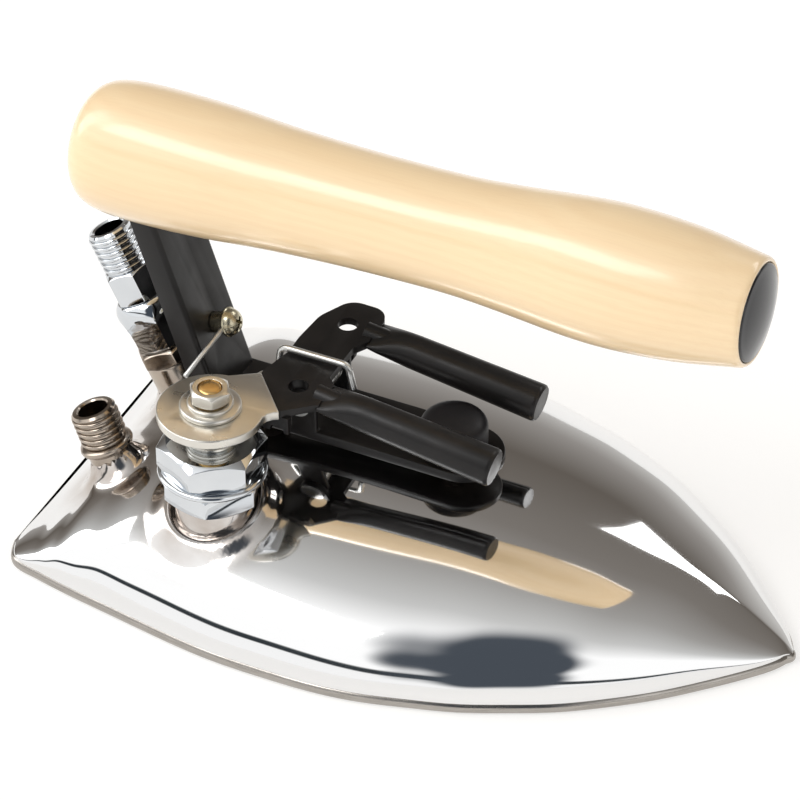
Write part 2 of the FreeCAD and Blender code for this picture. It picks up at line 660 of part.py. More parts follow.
def bent_wire(route, bends, radius):
    """Round wire along straight runs joined by tangent arcs."""
    edges = []
    start = route[0]
    for corner, following, bend in zip(route[1:], route[2:], bends):
        back = (start - corner).normalize()
        ahead = Vector(following - corner).normalize()
        half = back.getAngle(ahead) / 2
        reach = bend / math.tan(half)
        first = corner + back * reach
        last = corner + ahead * reach
        inward = (back + ahead).normalize()
        middle = corner + inward * (bend / math.sin(half) - bend)
        edges.append(Part.LineSegment(start, first).toShape())
        edges.append(Part.Arc(first, middle, last).toShape())
        start = last
    edges.append(Part.LineSegment(start, route[-1]).toShape())
    section = Part.Wire([Part.makeCircle(radius, route[0], route[1] - route[0])])
    return Part.Wire(edges).makePipeShell([section], True, False)


leg_route = [Vector(x, LEG_Y, z) for x, z in LEG_PATH]
fixed("spring_leg", bent_wire(leg_route, LEG_BENDS, LEG_WIRE_RADIUS))

# ---------------------------------------------------------------- foot bar and knob
bar_foot = size("bar_top") - size("bar_thickness")
half_bar = size("bar_width") / 2
bar_shape = Part.makeBox(size("bar_back") + size("bar_front"), size("bar_width"), size("bar_thickness"),
                         Vector(-size("bar_back"), -half_bar, bar_foot))
bar_shape = bar_shape.fuse(Part.makeCylinder(half_bar, size("bar_thickness"),
                                             Vector(size("bar_front"), 0, bar_foot)))
lug_thickness = size("lug_thickness")
for y in (-half_bar, half_bar - lug_thickness):
    bar_shape = bar_shape.fuse(lug(y, lug_thickness, size("bar_top") - 0.5, size("pivot_z"), 3.8))
pin_seat = Part.makeCylinder(size("pivot_dia") / 2, 60, Vector(size("pivot_x"), -30, size("pivot_z")),
                             Vector(0, 1, 0))
studs = [(size("knob_x"), size("bar_top") + 6.0), (size("rear_stud_x"), size("bar_top") + 5.0)]
stud_radius = size("stud_dia") / 2
STUD_FOOT = 24.0
stud_solids = []
spacer_solids = []
for x, top in studs:
    axis_foot = Vector(x, 0, STUD_FOOT)
    stud = Part.makeCylinder(stud_radius, top - STUD_FOOT, axis_foot)
    stud_solids.append(stud.cut(shell_outer))
    sleeve = Part.makeCylinder(size("spacer_dia") / 2, bar_foot - STUD_FOOT, axis_foot).cut(shell_outer)
    spacer_solids.append(sleeve.cut(stud))
    bar_shape = bar_shape.cut(stud)
fixed("foot_bar", bar_shape.cut(pin_seat).removeSplitter())
fixed("foot_studs", Part.makeCompound(stud_solids))
fixed("foot_spacers", Part.makeCompound(spacer_solids))
knob = turned([
    ("0", "6.1"),
    (cell("stud_dia") + " / 2", "6.1"),
    (cell("stud_dia") + " / 2", "0"),
    (cell("knob_dia") + " / 2 - 0.6", "0"),
    (cell("knob_dia") + " / 2", "0.6"),
    (cell("knob_dia") + " / 2", cell("knob_height") + " - 3.2"),
    (cell("knob_dia") + " / 2 - 0.8", cell("knob_height") + " - 1.6"),
    (cell("knob_dia") + " / 2 - 2.6", cell("knob_height") + " - 0.6"),
    (cell("knob_dia") + " / 4", cell("knob_height") + " - 0.1"),
    ("0", cell("knob_height")),
], "Knob")
place(knob, cell("knob_x"), "0", cell("bar_top"))
keep(knob, "foot_knob")
stud_nut = hexagon("8", "0", "4", 0, [
    (cell("stud_dia") + " / 2", "0"), ("4.7", "0"), ("4.7", "3.4"), ("4.1", "4"),
    (cell("stud_dia") + " / 2", "4"),
])
place(stud_nut, cell("rear_stud_x"), "0", cell("bar_top"))
keep(stud_nut, "rear_stud_nut")

# ---------------------------------------------------------------- bracket
lean = math.radians(size("bracket_lean"))
width = size("bracket_width")
depth = size("bracket_depth") * math.cos(lean)
gauge = size("bracket_sheet")
channel = Part.makeBox(depth, width, 110, Vector(-depth, -width / 2, -20))
inside = Part.makeBox(depth - gauge, width - 2 * gauge, 110, Vector(-depth, gauge - width / 2, -20))
front_edges = [edge for edge in channel.Edges if edge.BoundBox.ZLength > 100 and edge.BoundBox.XMax > -0.1]
channel = channel.makeFillet(1.4, front_edges).cut(inside)
channel.Placement = Placement(Vector(size("bracket_foot_x"), 0, size("bar_top")),
                              Rotation(Vector(0, 1, 0), -size("bracket_lean")))
level = Part.makeBox(120, 60, size("bracket_top") - size("bar_top"), Vector(-140, -30, size("bar_top")))
bracket_shape = channel.common(level)


def on_bracket(height, outwards):
    """A point in front of the bracket's web, at a height along the middle line."""
    foot = Vector(size("bracket_foot_x"), 0, size("bar_top"))
    up = Vector(-math.sin(lean), 0, math.cos(lean))
    front = Vector(math.cos(lean), 0, math.sin(lean))
    return foot + up * height + front * outwards


face_out = Vector(math.cos(lean), 0, math.sin(lean))
SCREW_HEIGHT = 19.0
SHANK_RADIUS = 1.9
SHANK_LENGTH = 10.7
SHANK_BACK = -5.6
HEAD_RADIUS = 3.7
HEAD_BALL_RADIUS = 4.1
SPACER_LENGTH = 3.6
shank = Part.makeCylinder(SHANK_RADIUS, SHANK_LENGTH, on_bracket(SCREW_HEIGHT, SHANK_BACK), face_out)
head_point = on_bracket(SCREW_HEIGHT, 5.0)
head = Part.makeSphere(HEAD_BALL_RADIUS, head_point - face_out)
head = head.common(Part.makeCylinder(HEAD_RADIUS, 6.0, head_point, face_out))
screw = shank.fuse(head)
slot_turn = Placement(head_point, Rotation(Vector(0, 1, 0), -size("bracket_lean")))
for spin in (45, -45):
    slot = Part.makeBox(4, 4.4, 0.9, Vector(1.2, -2.2, -0.45))
    slot.rotate(Vector(0, 0, 0), Vector(1, 0, 0), spin)
    slot.Placement = slot_turn.multiply(slot.Placement)
    screw = screw.cut(slot)
fixed("bracket_screw", screw.removeSplitter())
spacer = Part.makeCylinder(2.9, SPACER_LENGTH, on_bracket(SCREW_HEIGHT, 0), face_out).cut(shank)
fixed("screw_spacer", spacer)
nut = Part.makeCylinder(3.4, 2.4, on_bracket(SCREW_HEIGHT, -gauge - 2.4), face_out)
fixed("screw_nut", nut.cut(shank))
bracket_shape = bracket_shape.cut(shank)
wire_end = Vector(-62.0, -19.4, 52.2)
wire_start = on_bracket(SCREW_HEIGHT, 4.3) + Vector(0, -3.1, 0)
fixed("hold_wire", rod_between(wire_start, wire_end, 0.65))

# ---------------------------------------------------------------- handle
axis_place = Placement(Vector(0, 0, size("handle_z")), Rotation(Vector(0, 1, 0), -size("handle_tilt")))
HANDLE_PROFILE = [
    (-99.7, 0.0), (-99.5, 6.6), (-98.8, 11.4), (-97.0, 14.8), (-94.0, 16.9), (-89.0, 18.0),
    (-82.0, 18.4), (-70.0, 18.3), (-56.0, 17.6), (-44.5, 16.7), (-33.0, 16.05), (-22.0, 15.65),
    (-11.0, 15.4), (0.0, 15.35), (11.0, 15.5), (22.0, 16.2), (33.0, 17.2), (43.0, 18.1),
    (54.0, 18.5), (64.6, 18.05), (75.0, 17.05), (85.0, 15.4), (90.2, 14.5),
]
HANDLE_END = 91.4
END_RADIUS = 13.9
surface_line = Part.BSplineCurve()
surface_line.interpolate([Vector(x, 0, radius) for x, radius in HANDLE_PROFILE])
corner = Vector(HANDLE_END, 0, END_RADIUS)
last = Vector(HANDLE_PROFILE[-1][0], 0, HANDLE_PROFILE[-1][1])
first = Vector(HANDLE_PROFILE[0][0], 0, 0)
section = Part.Wire([
    surface_line.toShape(),
    Part.LineSegment(last, corner).toShape(),
    Part.LineSegment(corner, Vector(HANDLE_END, 0, 0)).toShape(),
    Part.LineSegment(Vector(HANDLE_END, 0, 0), first).toShape(),
])
handle_shape = Part.Face(section).revolve(Vector(0, 0, 0), Vector(1, 0, 0), 360)
rod_radius = size("rod_dia") / 2
cap_radius = size("cap_dia") / 2
ROD_BACK = -84.0
ROD_FRONT = 84.0
POCKET_DEPTH = 13.0
ahead = Vector(1, 0, 0)
bore = Part.makeCylinder(rod_radius + 0.3, HANDLE_END - ROD_BACK, Vector(ROD_BACK, 0, 0), ahead)
pocket = Part.makeCylinder(9.0, POCKET_DEPTH, Vector(HANDLE_END - POCKET_DEPTH, 0, 0), ahead)
cap_seat = Part.makeCylinder(cap_radius, size("cap_seat"), Vector(HANDLE_END - size("cap_seat"), 0, 0), ahead)
handle_shape = handle_shape.cut(bore).cut(pocket).cut(cap_seat)
handle_shape.Placement = axis_place
mortise = Part.makeBox(depth + 0.6, width + 0.6, 70, Vector(-depth - 0.3, -width / 2 - 0.3, 20))
mortise.Placement = Placement(Vector(size("bracket_foot_x"), 0, size("bar_top")),
                              Rotation(Vector(0, 1, 0), -size("bracket_lean")))
mortise = mortise.common(Part.makeBox(120, 60, size("bracket_top") + 0.3, Vector(-140, -30, 0)))
fixed("handle", handle_shape.cut(mortise))


def on_handle(shape):
    """Turn a piece made along +X onto the handle's axis."""
    shape.Placement = axis_place.multiply(shape.Placement)
    return shape


rod = on_handle(Part.makeCylinder(rod_radius, ROD_FRONT - ROD_BACK, Vector(ROD_BACK, 0, 0), ahead))
fixed("bracket", bracket_shape.cut(rod))
fixed("handle_rod", rod)
pocket_floor = HANDLE_END - POCKET_DEPTH
washer = Part.makeCylinder(8.4, 1.6, Vector(pocket_floor, 0, 0), ahead)
fixed("rod_washer", on_handle(washer).cut(rod))
nut_bar = Part.makeCylinder(6.5, 5.0, Vector(pocket_floor + 1.6, 0, 0), ahead)
flats = Part.makeBox(5.0, 13.0, 11.4, Vector(pocket_floor + 1.6, -6.5, -5.7))
fixed("rod_nut", on_handle(nut_bar.common(flats)).cut(rod))
seat_floor = HANDLE_END - size("cap_seat")
cap_body = Part.makeCylinder(cap_radius, size("cap_seat"), Vector(seat_floor, 0, 0), ahead)
DOME_RISE = 2.6
dome_radius = (cap_radius ** 2 + DOME_RISE ** 2) / (2 * DOME_RISE)
ball = Part.makeSphere(dome_radius, Vector(HANDLE_END + DOME_RISE - dome_radius, 0, 0))
dome_part = ball.common(Part.makeCylinder(cap_radius, DOME_RISE + 1, Vector(HANDLE_END, 0, 0), ahead))
fixed("handle_cap", on_handle(cap_body.fuse(dome_part).removeSplitter()))


# ---------------------------------------------------------------- return nipple and steam inlet
def leaning(piece, label, foot, tilt):
    """Set a piece made upright onto an axis that leans back."""
    place(piece, cell(foot + "_x"), cell(foot + "_y"), cell(foot + "_z"), tilt="-" + cell(tilt))
    return keep(piece, label)


def weld_flare(profile, foot, tilt, opening, label):
    """A turned socket whose flared foot is trimmed to the shell."""
    solid = weld_bead(profile, Placement(foot, Rotation(Vector(0, 1, 0), -tilt)))
    trimmed = solid.cut(shell_outer.cut(opening))
    return fixed(label, max(trimmed.Solids, key=lambda item: item.Volume))


pipe = size("pipe_dia") / 2
bore_radius = size("pipe_bore") / 2
# The nipple: flared weld, plain neck, round collar, then the thread at its outside diameter.
NECK_RADIUS = 6.0
COLLAR_RADIUS = 7.5
weld_flare([
    (bore_radius, -4.0), (pipe, -4.0), (pipe, -6.0), (12.0, -6.0), (11.6, -1.5), (9.4, 1.4),
    (7.4, 3.2), (NECK_RADIUS, 4.8), (NECK_RADIUS, 6.2), (COLLAR_RADIUS - 0.7, 6.4),
    (COLLAR_RADIUS, 7.1), (COLLAR_RADIUS, 7.9), (COLLAR_RADIUS - 0.7, 8.6), (pipe, 8.8),
    (pipe, size("nipple_length") - 0.7), (pipe - 0.8, size("nipple_length")),
    (bore_radius, size("nipple_length")),
], nipple_foot, size("nipple_tilt"), nipple_opening, "return_nipple")
leaning(tube("6.6", "4.6", "-8", "-4", "Siphon"), "siphon_tube", "nipple", "nipple_tilt")

# The steam inlet, measured up its own axis: socket, lock nut, union with a round shoulder, adaptor
# and thread. Each piece stands on the one below it.
SOCKET_TOP = 13.0
LOCK_NUT_TOP = 17.8
UNION_HEX_TOP = 28.0
UNION_TOP = 33.0
ADAPTOR_TOP = 42.6
THREAD_TOP = 55.0
weld_flare([
    (bore_radius, -5.0), (INLET_SOCKET_RADIUS, -5.0), (INLET_SOCKET_RADIUS, -8.0), (14.0, -8.0),
    (14.0, -1.0), (11.8, 2.6), (9.9, 4.8), (8.9, 6.0), (INLET_SOCKET_RADIUS, 7.2),
    (INLET_SOCKET_RADIUS, SOCKET_TOP), (bore_radius, SOCKET_TOP),
], inlet_foot, size("inlet_tilt"), inlet_opening, "inlet_socket")


def up_inlet(height, step=0.0):
    """A height on the inlet's axis as a formula."""
    return f"{height + step:.2f}"


def inlet_hexagon(label, flats, foot, top, envelope):
    """A hexagon piece on the inlet's axis; its envelope is (radius, height over its foot) pairs."""
    corners = [(f"{radius}", up_inlet(foot, rise)) for radius, rise in envelope]
    leaning(hexagon(flats, up_inlet(foot), up_inlet(top), 10, corners), label, "inlet", "inlet_tilt")


inlet_hexagon("inlet_lock_nut", "16.6", SOCKET_TOP, LOCK_NUT_TOP, [
    (4.2, 0), (8.6, 0), (9.4, 0.7), (9.4, 4.1), (8.6, 4.8), (4.2, 4.8),
])
union_hexagon = hexagon("15.4", up_inlet(LOCK_NUT_TOP), up_inlet(UNION_HEX_TOP), 10, [
    ("4.2", up_inlet(LOCK_NUT_TOP)), ("7.4", up_inlet(LOCK_NUT_TOP)), ("8.7", up_inlet(LOCK_NUT_TOP, 1.2)),
    ("8.9", up_inlet(UNION_HEX_TOP)), ("4.2", up_inlet(UNION_HEX_TOP)),
])
union_shoulder = turned([
    ("4.2", up_inlet(UNION_HEX_TOP)), ("8.4", up_inlet(UNION_HEX_TOP)),
    ("8.9", up_inlet(UNION_HEX_TOP, 1.4)), ("8.8", up_inlet(UNION_HEX_TOP, 3.0)),
    ("8.0", up_inlet(UNION_HEX_TOP, 4.4)), ("7.2", up_inlet(UNION_TOP)), ("4.2", up_inlet(UNION_TOP)),
], "Shoulder")
union = doc.addObject("Part::Fuse", "Union")
union.Base = union_hexagon
union.Tool = union_shoulder
leaning(union, "inlet_union", "inlet", "inlet_tilt")
inlet_hexagon("inlet_adaptor", "13.6", UNION_TOP, ADAPTOR_TOP, [
    (4.2, 0), (7.2, 0), (7.8, 1.2), (7.8, 8.4), (7.0, 9.6), (4.2, 9.6),
])
leaning(turned([
    ("4.2", up_inlet(ADAPTOR_TOP)),
    (cell("pipe_dia") + " / 2", up_inlet(ADAPTOR_TOP)),
    (cell("pipe_dia") + " / 2", up_inlet(THREAD_TOP, -0.7)),
    (cell("pipe_dia") + " / 2 - 0.7", up_inlet(THREAD_TOP)),
    ("4.2", up_inlet(THREAD_TOP)),
], "Thread"), "inlet_thread", "inlet", "inlet_tilt")

# ---------------------------------------------------------------- check and export
doc.recompute()
for item in doc.Objects:
    if "Invalid" in item.State or "Error" in item.State:
        raise RuntimeError(f"{item.Label} failed: {item.State}")
labels = [piece.Label for piece in pieces]
if len(set(labels)) != len(labels):
    raise RuntimeError("two pieces share a name")
for piece in pieces:
    if piece.Shape.isNull() or not piece.Shape.isValid():
        raise RuntimeError(f"{piece.Label} has no valid shape")
    piece.Shape.exportStep(f"parts/{piece.Label}.step")
    print(f"{piece.Label:18s} {len(piece.Shape.Solids)} solid(s) {piece.Shape.Volume:10.1f} mm3")
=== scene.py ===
"""Looks of a boiler-fed all-steam clothes iron: polished shell, maple handle, steam valve and lever.

Lengths in this file are millimetres in the iron's own frame: +X to the nose, -Y to the valve side,
+Z up, with the origin on the sole's lower face, 108 mm behind the nose tip. add_mesh makes them metres.
"""

import math

import bmesh
import bpy
import numpy as np
from bpy.props import FloatProperty, PointerProperty, StringProperty
from mathutils import Matrix, Vector


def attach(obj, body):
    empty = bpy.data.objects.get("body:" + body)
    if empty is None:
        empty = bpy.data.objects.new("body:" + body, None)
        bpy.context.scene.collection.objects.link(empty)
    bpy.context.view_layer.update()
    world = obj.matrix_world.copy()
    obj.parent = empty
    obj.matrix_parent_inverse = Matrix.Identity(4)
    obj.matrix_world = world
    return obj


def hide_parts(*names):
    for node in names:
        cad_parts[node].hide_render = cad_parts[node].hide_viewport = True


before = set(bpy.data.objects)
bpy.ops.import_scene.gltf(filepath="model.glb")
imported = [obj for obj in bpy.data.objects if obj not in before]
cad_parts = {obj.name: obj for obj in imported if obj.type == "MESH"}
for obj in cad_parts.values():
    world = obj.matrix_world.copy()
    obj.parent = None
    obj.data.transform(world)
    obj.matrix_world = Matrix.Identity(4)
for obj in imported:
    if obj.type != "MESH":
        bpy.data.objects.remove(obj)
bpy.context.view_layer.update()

bl_info = {
    "name": "Steam clothes iron",
    "version": (1, 0, 0),
    "blender": (4, 5, 0),
    "location": "View3D > Sidebar > Iron",
    "description": "Builds the pieces and finishes of an all-steam clothes iron on its fixed frame",
    "category": "Object",
}

MM = 0.001
ROOT, LEVER, STEM = "iron", "lever", "stem"

# Places that the fixed frame gives, in millimetres, and its angles in degrees.
VALVE_X, VALVE_Y = -45.4, -35.9
NIPPLE_FOOT, NIPPLE_TILT = Vector((-81.2, -25.5, 19.4)), 20.0
INLET_FOOT, INLET_TILT = Vector((-73.8, 6.0, 24.6)), 26.4
HANDLE_HEIGHT, HANDLE_TILT = 108.65, 1.26
RIM = 3.4
PIPE_RADIUS, PIPE_BORE = 6.58, 4.2
BRACKET_FOOT, BRACKET_LEAN = Vector((-56.9, 0.0, 39.0)), math.radians(18.4)
KNOB_X, REAR_STUD_X = 8.4, -47.0
SCREW_HEIGHT = 19.0

# Finishes by a maker's name.
MIRROR_STEEL, GROUND_STEEL = "Buffed_stainless_steel", "Ground_stainless_steel"
TINTED_STEEL, PLAIN_STEEL = "Heat_tinted_stainless_steel", "Mill_finish_steel"
CHROME, ZINC, YELLOW_ZINC = "Bright_chromium_plate", "Satin_zinc_plate", "Yellow_zinc_plate"
WIRE, BRASS, PTFE = "Drawn_spring_wire", "Turned_brass", "Sintered_ptfe"
ENAMEL, MATT_BLACK, GLOSS_BLACK = "Black_stove_enamel", "Matt_phenolic_moulding", "Gloss_phenolic_moulding"
MAPLE = "Lacquered_hard_maple"


# Sizes and colours a user may change
class IronShellSettings(bpy.types.PropertyGroup):
    """Shell and sole."""
    steel: StringProperty(name="Steel", description="Colour of the polished shell", default="#E7E7E7")
    tint: StringProperty(
        name="Heat tint", description="Colour of the steel round the welds", default="#A08F80")
    polish: FloatProperty(
        name="Polish", description="Roughness of the polished shell",
        default=0.045, min=0.0, max=1.0, subtype="FACTOR")
    weld_swell: FloatProperty(
        name="Weld swell", description="Full height of a weld's swell; each weld takes a share of it",
        default=0.0042, min=0.0, max=0.008, unit="LENGTH")
    rim_round: FloatProperty(
        name="Rim round", description="Radius of the sole's rounded rim",
        default=0.0015, min=0.0002, max=0.0016, unit="LENGTH")


class IronHandleSettings(bpy.types.PropertyGroup):
    """Handle and end cap."""
    wood: StringProperty(name="Wood", description="Pale colour of the maple", default="#FFE3B8")
    grain: StringProperty(name="Grain", description="Darker colour of the maple's grain", default="#F6D2A2")
    grain_spacing: FloatProperty(
        name="Grain spacing", description="Distance between growth rings",
        default=0.0024, min=0.0005, max=0.01, unit="LENGTH")
    cap: StringProperty(name="Cap", description="Colour of the end cap", default="#1B1B1D")


class IronValveSettings(bpy.types.PropertyGroup):
    """Valve, fittings and threads."""
    chrome: StringProperty(name="Chrome", description="Colour of the chromium plate", default="#DDE0E3")
    zinc: StringProperty(name="Zinc", description="Colour of the zinc plate", default="#E4E1DA")
    brass: StringProperty(name="Brass", description="Colour of the valve stem", default="#E6C68A")
    thread_pitch: FloatProperty(
        name="Thread pitch", description="Pitch of the pipe threads",
        default=0.0018, min=0.0005, max=0.003, unit="LENGTH")
    thread_depth: FloatProperty(
        name="Thread depth", description="Depth of the pipe threads",
        default=0.0007, min=0.0001, max=0.001, unit="LENGTH")


class IronLeverSettings(bpy.types.PropertyGroup):
    """Lever, bracket and foot bar."""
    enamel: StringProperty(name="Enamel", description="Colour of the black stove enamel", default="#151414")
    edge_round: FloatProperty(
        name="Edge round", description="Rounding of sheet metal edges",
        default=0.00035, min=0.0001, max=0.001, unit="LENGTH")


class IronStageSettings(bpy.types.PropertyGroup):
    """Floor, light and camera."""
    floor: StringProperty(name="Floor", description="Colour of the floor's own glow", default="#F6F5F3")
    light: FloatProperty(
        name="Light", description="Strength of the soft light", default=1.0, min=0.0, max=10.0)


SETTINGS = {
    "iron_shell": IronShellSettings,
    "iron_handle": IronHandleSettings,
    "iron_valve": IronValveSettings,
    "iron_lever": IronLeverSettings,
    "iron_stage": IronStageSettings,
}

# Nodes and materials
def linear(colour):
    """An sRGB hex colour as linear red, green, blue and alpha."""
    channels = [int(colour[i:i + 2], 16) / 255 for i in (1, 3, 5)]
    return [c / 12.92 if c <= 0.04045 else ((c + 0.055) / 1.055) ** 2.4 for c in channels] + [1.0]


def add_node(tree, kind, values=None, links=None, **settings):
    """Adds a node with its settings, its sockets' values and its incoming links."""
    node = tree.nodes.new(kind)
    for key, value in settings.items():
        setattr(node, key, value)
    for key, value in (values or {}).items():
        node.inputs[key].default_value = value
    for key, source in (links or {}).items():
        tree.links.new(source, node.inputs[key])
    return node


def ramp_of(node, stops):
    """Sets a colour ramp's stops from (position, sRGB hex) pairs."""
    elements = node.color_ramp.elements
    while len(elements) > 1:
        elements.remove(elements[-1])
    elements[0].position, elements[0].color = stops[0][0], linear(stops[0][1])
    for position, colour in stops[1:]:
        elements.new(position).color = linear(colour)
    return node


MATERIALS = {}


def new_material(name, **surface):
    """A material whose plain numbers sit on its shader; returns its tree, shader and Object coordinates."""
    material = bpy.data.materials.new(name)
    material.use_nodes = True
    tree = material.node_tree
    shader = tree.nodes["Principled BSDF"]
    for key, value in surface.items():
        shader.inputs[key.replace("_", " ")].default_value = value
    MATERIALS[name] = material
    return tree, shader, add_node(tree, "ShaderNodeTexCoord").outputs["Object"]


def noise_of(tree, place, size_mm, detail=2.0, stretch=(1, 1, 1), roughness=0.5):
    """Noise whose features are about size_mm long; stretch lengthens them along an axis."""
    scale = [1000 / size_mm / s for s in stretch]
    mapped = add_node(tree, "ShaderNodeMapping", {"Scale": scale}, {"Vector": place})
    return add_node(
        tree, "ShaderNodeTexNoise", {"Scale": 1.0, "Detail": detail, "Roughness": roughness},
        {"Vector": mapped.outputs[0]}).outputs["Fac"]


def spread(tree, factor, low, high, start=0.3, stop=0.7):
    """Maps a pattern onto a range of numbers."""
    return add_node(
        tree, "ShaderNodeMapRange", {"From Min": start, "From Max": stop, "To Min": low, "To Max": high},
        {"Value": factor}).outputs["Result"]


def blend_colours(tree, factor, first, second):
    """Mixes two sRGB hex colours, or a colour and a socket, by a pattern."""
    mix = add_node(tree, "ShaderNodeMix", links={"Factor": factor}, data_type="RGBA")
    for socket, colour in ((mix.inputs[6], first), (mix.inputs[7], second)):
        if isinstance(colour, str):
            socket.default_value = linear(colour)
        else:
            tree.links.new(colour, socket)
    return mix.outputs[2]

def surface_from(tree, shader, colour, roughness, height, strength, depth_mm):
    """Feeds a colour, a roughness and a bump of a real depth into the shader."""
    bump = add_node(
        tree, "ShaderNodeBump", {"Strength": strength, "Distance": depth_mm * MM}, {"Height": height})
    for socket, source in (("Base Color", colour), ("Roughness", roughness), ("Normal", bump.outputs[0])):
        tree.links.new(source, shader.inputs[socket])


def nearness(tree, place, point, far, close):
    """1 within a distance of a point, falling softly to 0 at a farther one."""
    gap = add_node(
        tree, "ShaderNodeVectorMath", {1: point}, {0: place}, operation="DISTANCE").outputs["Value"]
    return add_node(
        tree, "ShaderNodeMapRange", {"From Min": far, "From Max": close}, {"Value": gap},
        interpolation_type="SMOOTHSTEP").outputs["Result"]


def polished_steel():
    """Stainless sheet, 18/10, buffed: a mirror with faint press ripples and brown heat tint by the welds."""
    settings = bpy.context.scene.iron_shell
    tree, shader, place = new_material(MIRROR_STEEL, Metallic=1.0)
    full_tint = 0.42
    tint = None
    # the middle of each tinted patch and how far it reaches
    for centre, reach in (((VALVE_X, VALVE_Y, 27.0), 27.0), ((-81.2, -25.5, 20.0), 22.0),
                          ((-74.0, 6.0, 25.0), 24.0), ((REAR_STUD_X, 0.0, 31.0), 16.0),
                          ((KNOB_X, 0.0, 31.0), 15.0)):
        part = nearness(tree, place, [c * MM for c in centre], reach * MM, reach * full_tint * MM)
        tint = part if tint is None else add_node(
            tree, "ShaderNodeMath", links={0: tint, 1: part}, operation="MAXIMUM").outputs[0]
    cloud = spread(tree, noise_of(tree, place, 9, 3), 0.35, 0.75)
    uneven = add_node(tree, "ShaderNodeMath", links={0: tint, 1: cloud}, operation="MULTIPLY").outputs[0]
    haze = spread(tree, noise_of(tree, place, 30, 4), settings.polish * 0.7, settings.polish * 1.6)
    rough = add_node(
        tree, "ShaderNodeMath", {1: 0.10}, {0: uneven, 2: haze}, operation="MULTIPLY_ADD").outputs[0]
    colour = blend_colours(tree, uneven, settings.steel, settings.tint)
    surface_from(tree, shader, colour, rough, noise_of(tree, place, 26, 1), 0.35, 0.10)


def patchy_finish(name, colours, patch, roughness, rough_patch, bump_patch, bump, share=None, **surface):
    """A finish of two colours in soft patches; a patch is its size in mm, its detail and its stretch."""
    tree, shader, place = new_material(name, **surface)
    cloud = noise_of(tree, place, *patch)
    if share:
        cloud = spread(tree, cloud, 0, share)
    rough = spread(tree, noise_of(tree, place, *rough_patch), *roughness)
    surface_from(
        tree, shader, blend_colours(tree, cloud, *colours), rough, noise_of(tree, place, *bump_patch), *bump)


def plain_metals():
    """Every metal but the shell's. Metals keep the default IOR."""
    settings = bpy.context.scene.iron_valve
    # stainless plate, ground and lapped: fine lines along the rim, drawn 0.5 mm apart so they show
    lines = (0.5, 2, (14, 14, 1))
    patchy_finish(
        GROUND_STEEL, ("#B9B4AE", "#928D87"), lines, (0.16, 0.30), lines, lines, (0.25, 0.02), Metallic=1.0)
    # turned stainless fitting, browned by welding: a warm bronze tint over turning lines 0.4 mm apart
    patchy_finish(
        TINTED_STEEL, ("#C2B6A7", "#8C8179"), (7, 3), (0.14, 0.24), (4, 2), (0.8, 2, (6, 6, 1)),
        (0.15, 0.01), Metallic=1.0)
    rows = (
        # name, light colour, dark colour, roughness from, to, patch mm, bump mm
        # chromium on brass: a cool mirror
        (CHROME, settings.chrome, "#C9CDD1", 0.03, 0.07, 12, 0.01),
        # clear-passivated zinc on steel: a soft silvery sheen
        (ZINC, settings.zinc, "#CFCBC2", 0.24, 0.38, 8, 0.01),
        # yellow-passivated zinc on steel: a dull straw tint
        (YELLOW_ZINC, "#D3CCB4", "#ADA48B", 0.18, 0.30, 4, 0.01),
        # drawn spring wire: bright, with a fine satin skin
        (WIRE, "#EBEBE9", "#C8C8C5", 0.28, 0.42, 3, 0.01),
        # bare turned brass: warm yellow and a little dulled
        (BRASS, settings.brass, "#C9A062", 0.22, 0.36, 4, 0.01),
        # mild steel as it left the mill: grey with uneven gloss
        (PLAIN_STEEL, "#A9A5A0", "#7F7A74", 0.28, 0.42, 4, 0.03),
    )
    for name, light, dark, low, high, size, depth in rows:
        patchy_finish(
            name, (light, dark), (size, 4), (low, high), (size, 4), (size * 0.4, 3), (0.25, depth),
            Metallic=1.0)


def enamel_and_mouldings():
    """Enamel, phenolic mouldings and seals."""
    rows = (
        # name, colour, worn colour, roughness from, to, peel mm, depth mm, specular level
        # stove enamel on sheet steel: soft black gloss with fine orange peel
        (ENAMEL, bpy.context.scene.iron_lever.enamel, "#242120", 0.28, 0.42, 1.6, 0.008, 0.30),
        # phenolic, moulded and tumbled: matt black
        (MATT_BLACK, "#141315", "#1C1A1D", 0.42, 0.56, 0.9, 0.010, 0.30),
        # phenolic, moulded and buffed: glossy black
        (GLOSS_BLACK, bpy.context.scene.iron_handle.cap, "#26262A", 0.12, 0.20, 6.0, 0.010, 0.55),
        # PTFE, pressed and sintered: waxy white
        (PTFE, "#E6E2DA", "#CFC9BE", 0.45, 0.6, 1.0, 0.010, 0.4),
    )
    for name, colour, worn, low, high, peel, depth, level in rows:
        patchy_finish(
            name, (colour, worn), (14, 4), (low, high), (5, 3), (peel, 2), (0.4, depth), 0.7,
            IOR=1.5, Specular_IOR_Level=level)


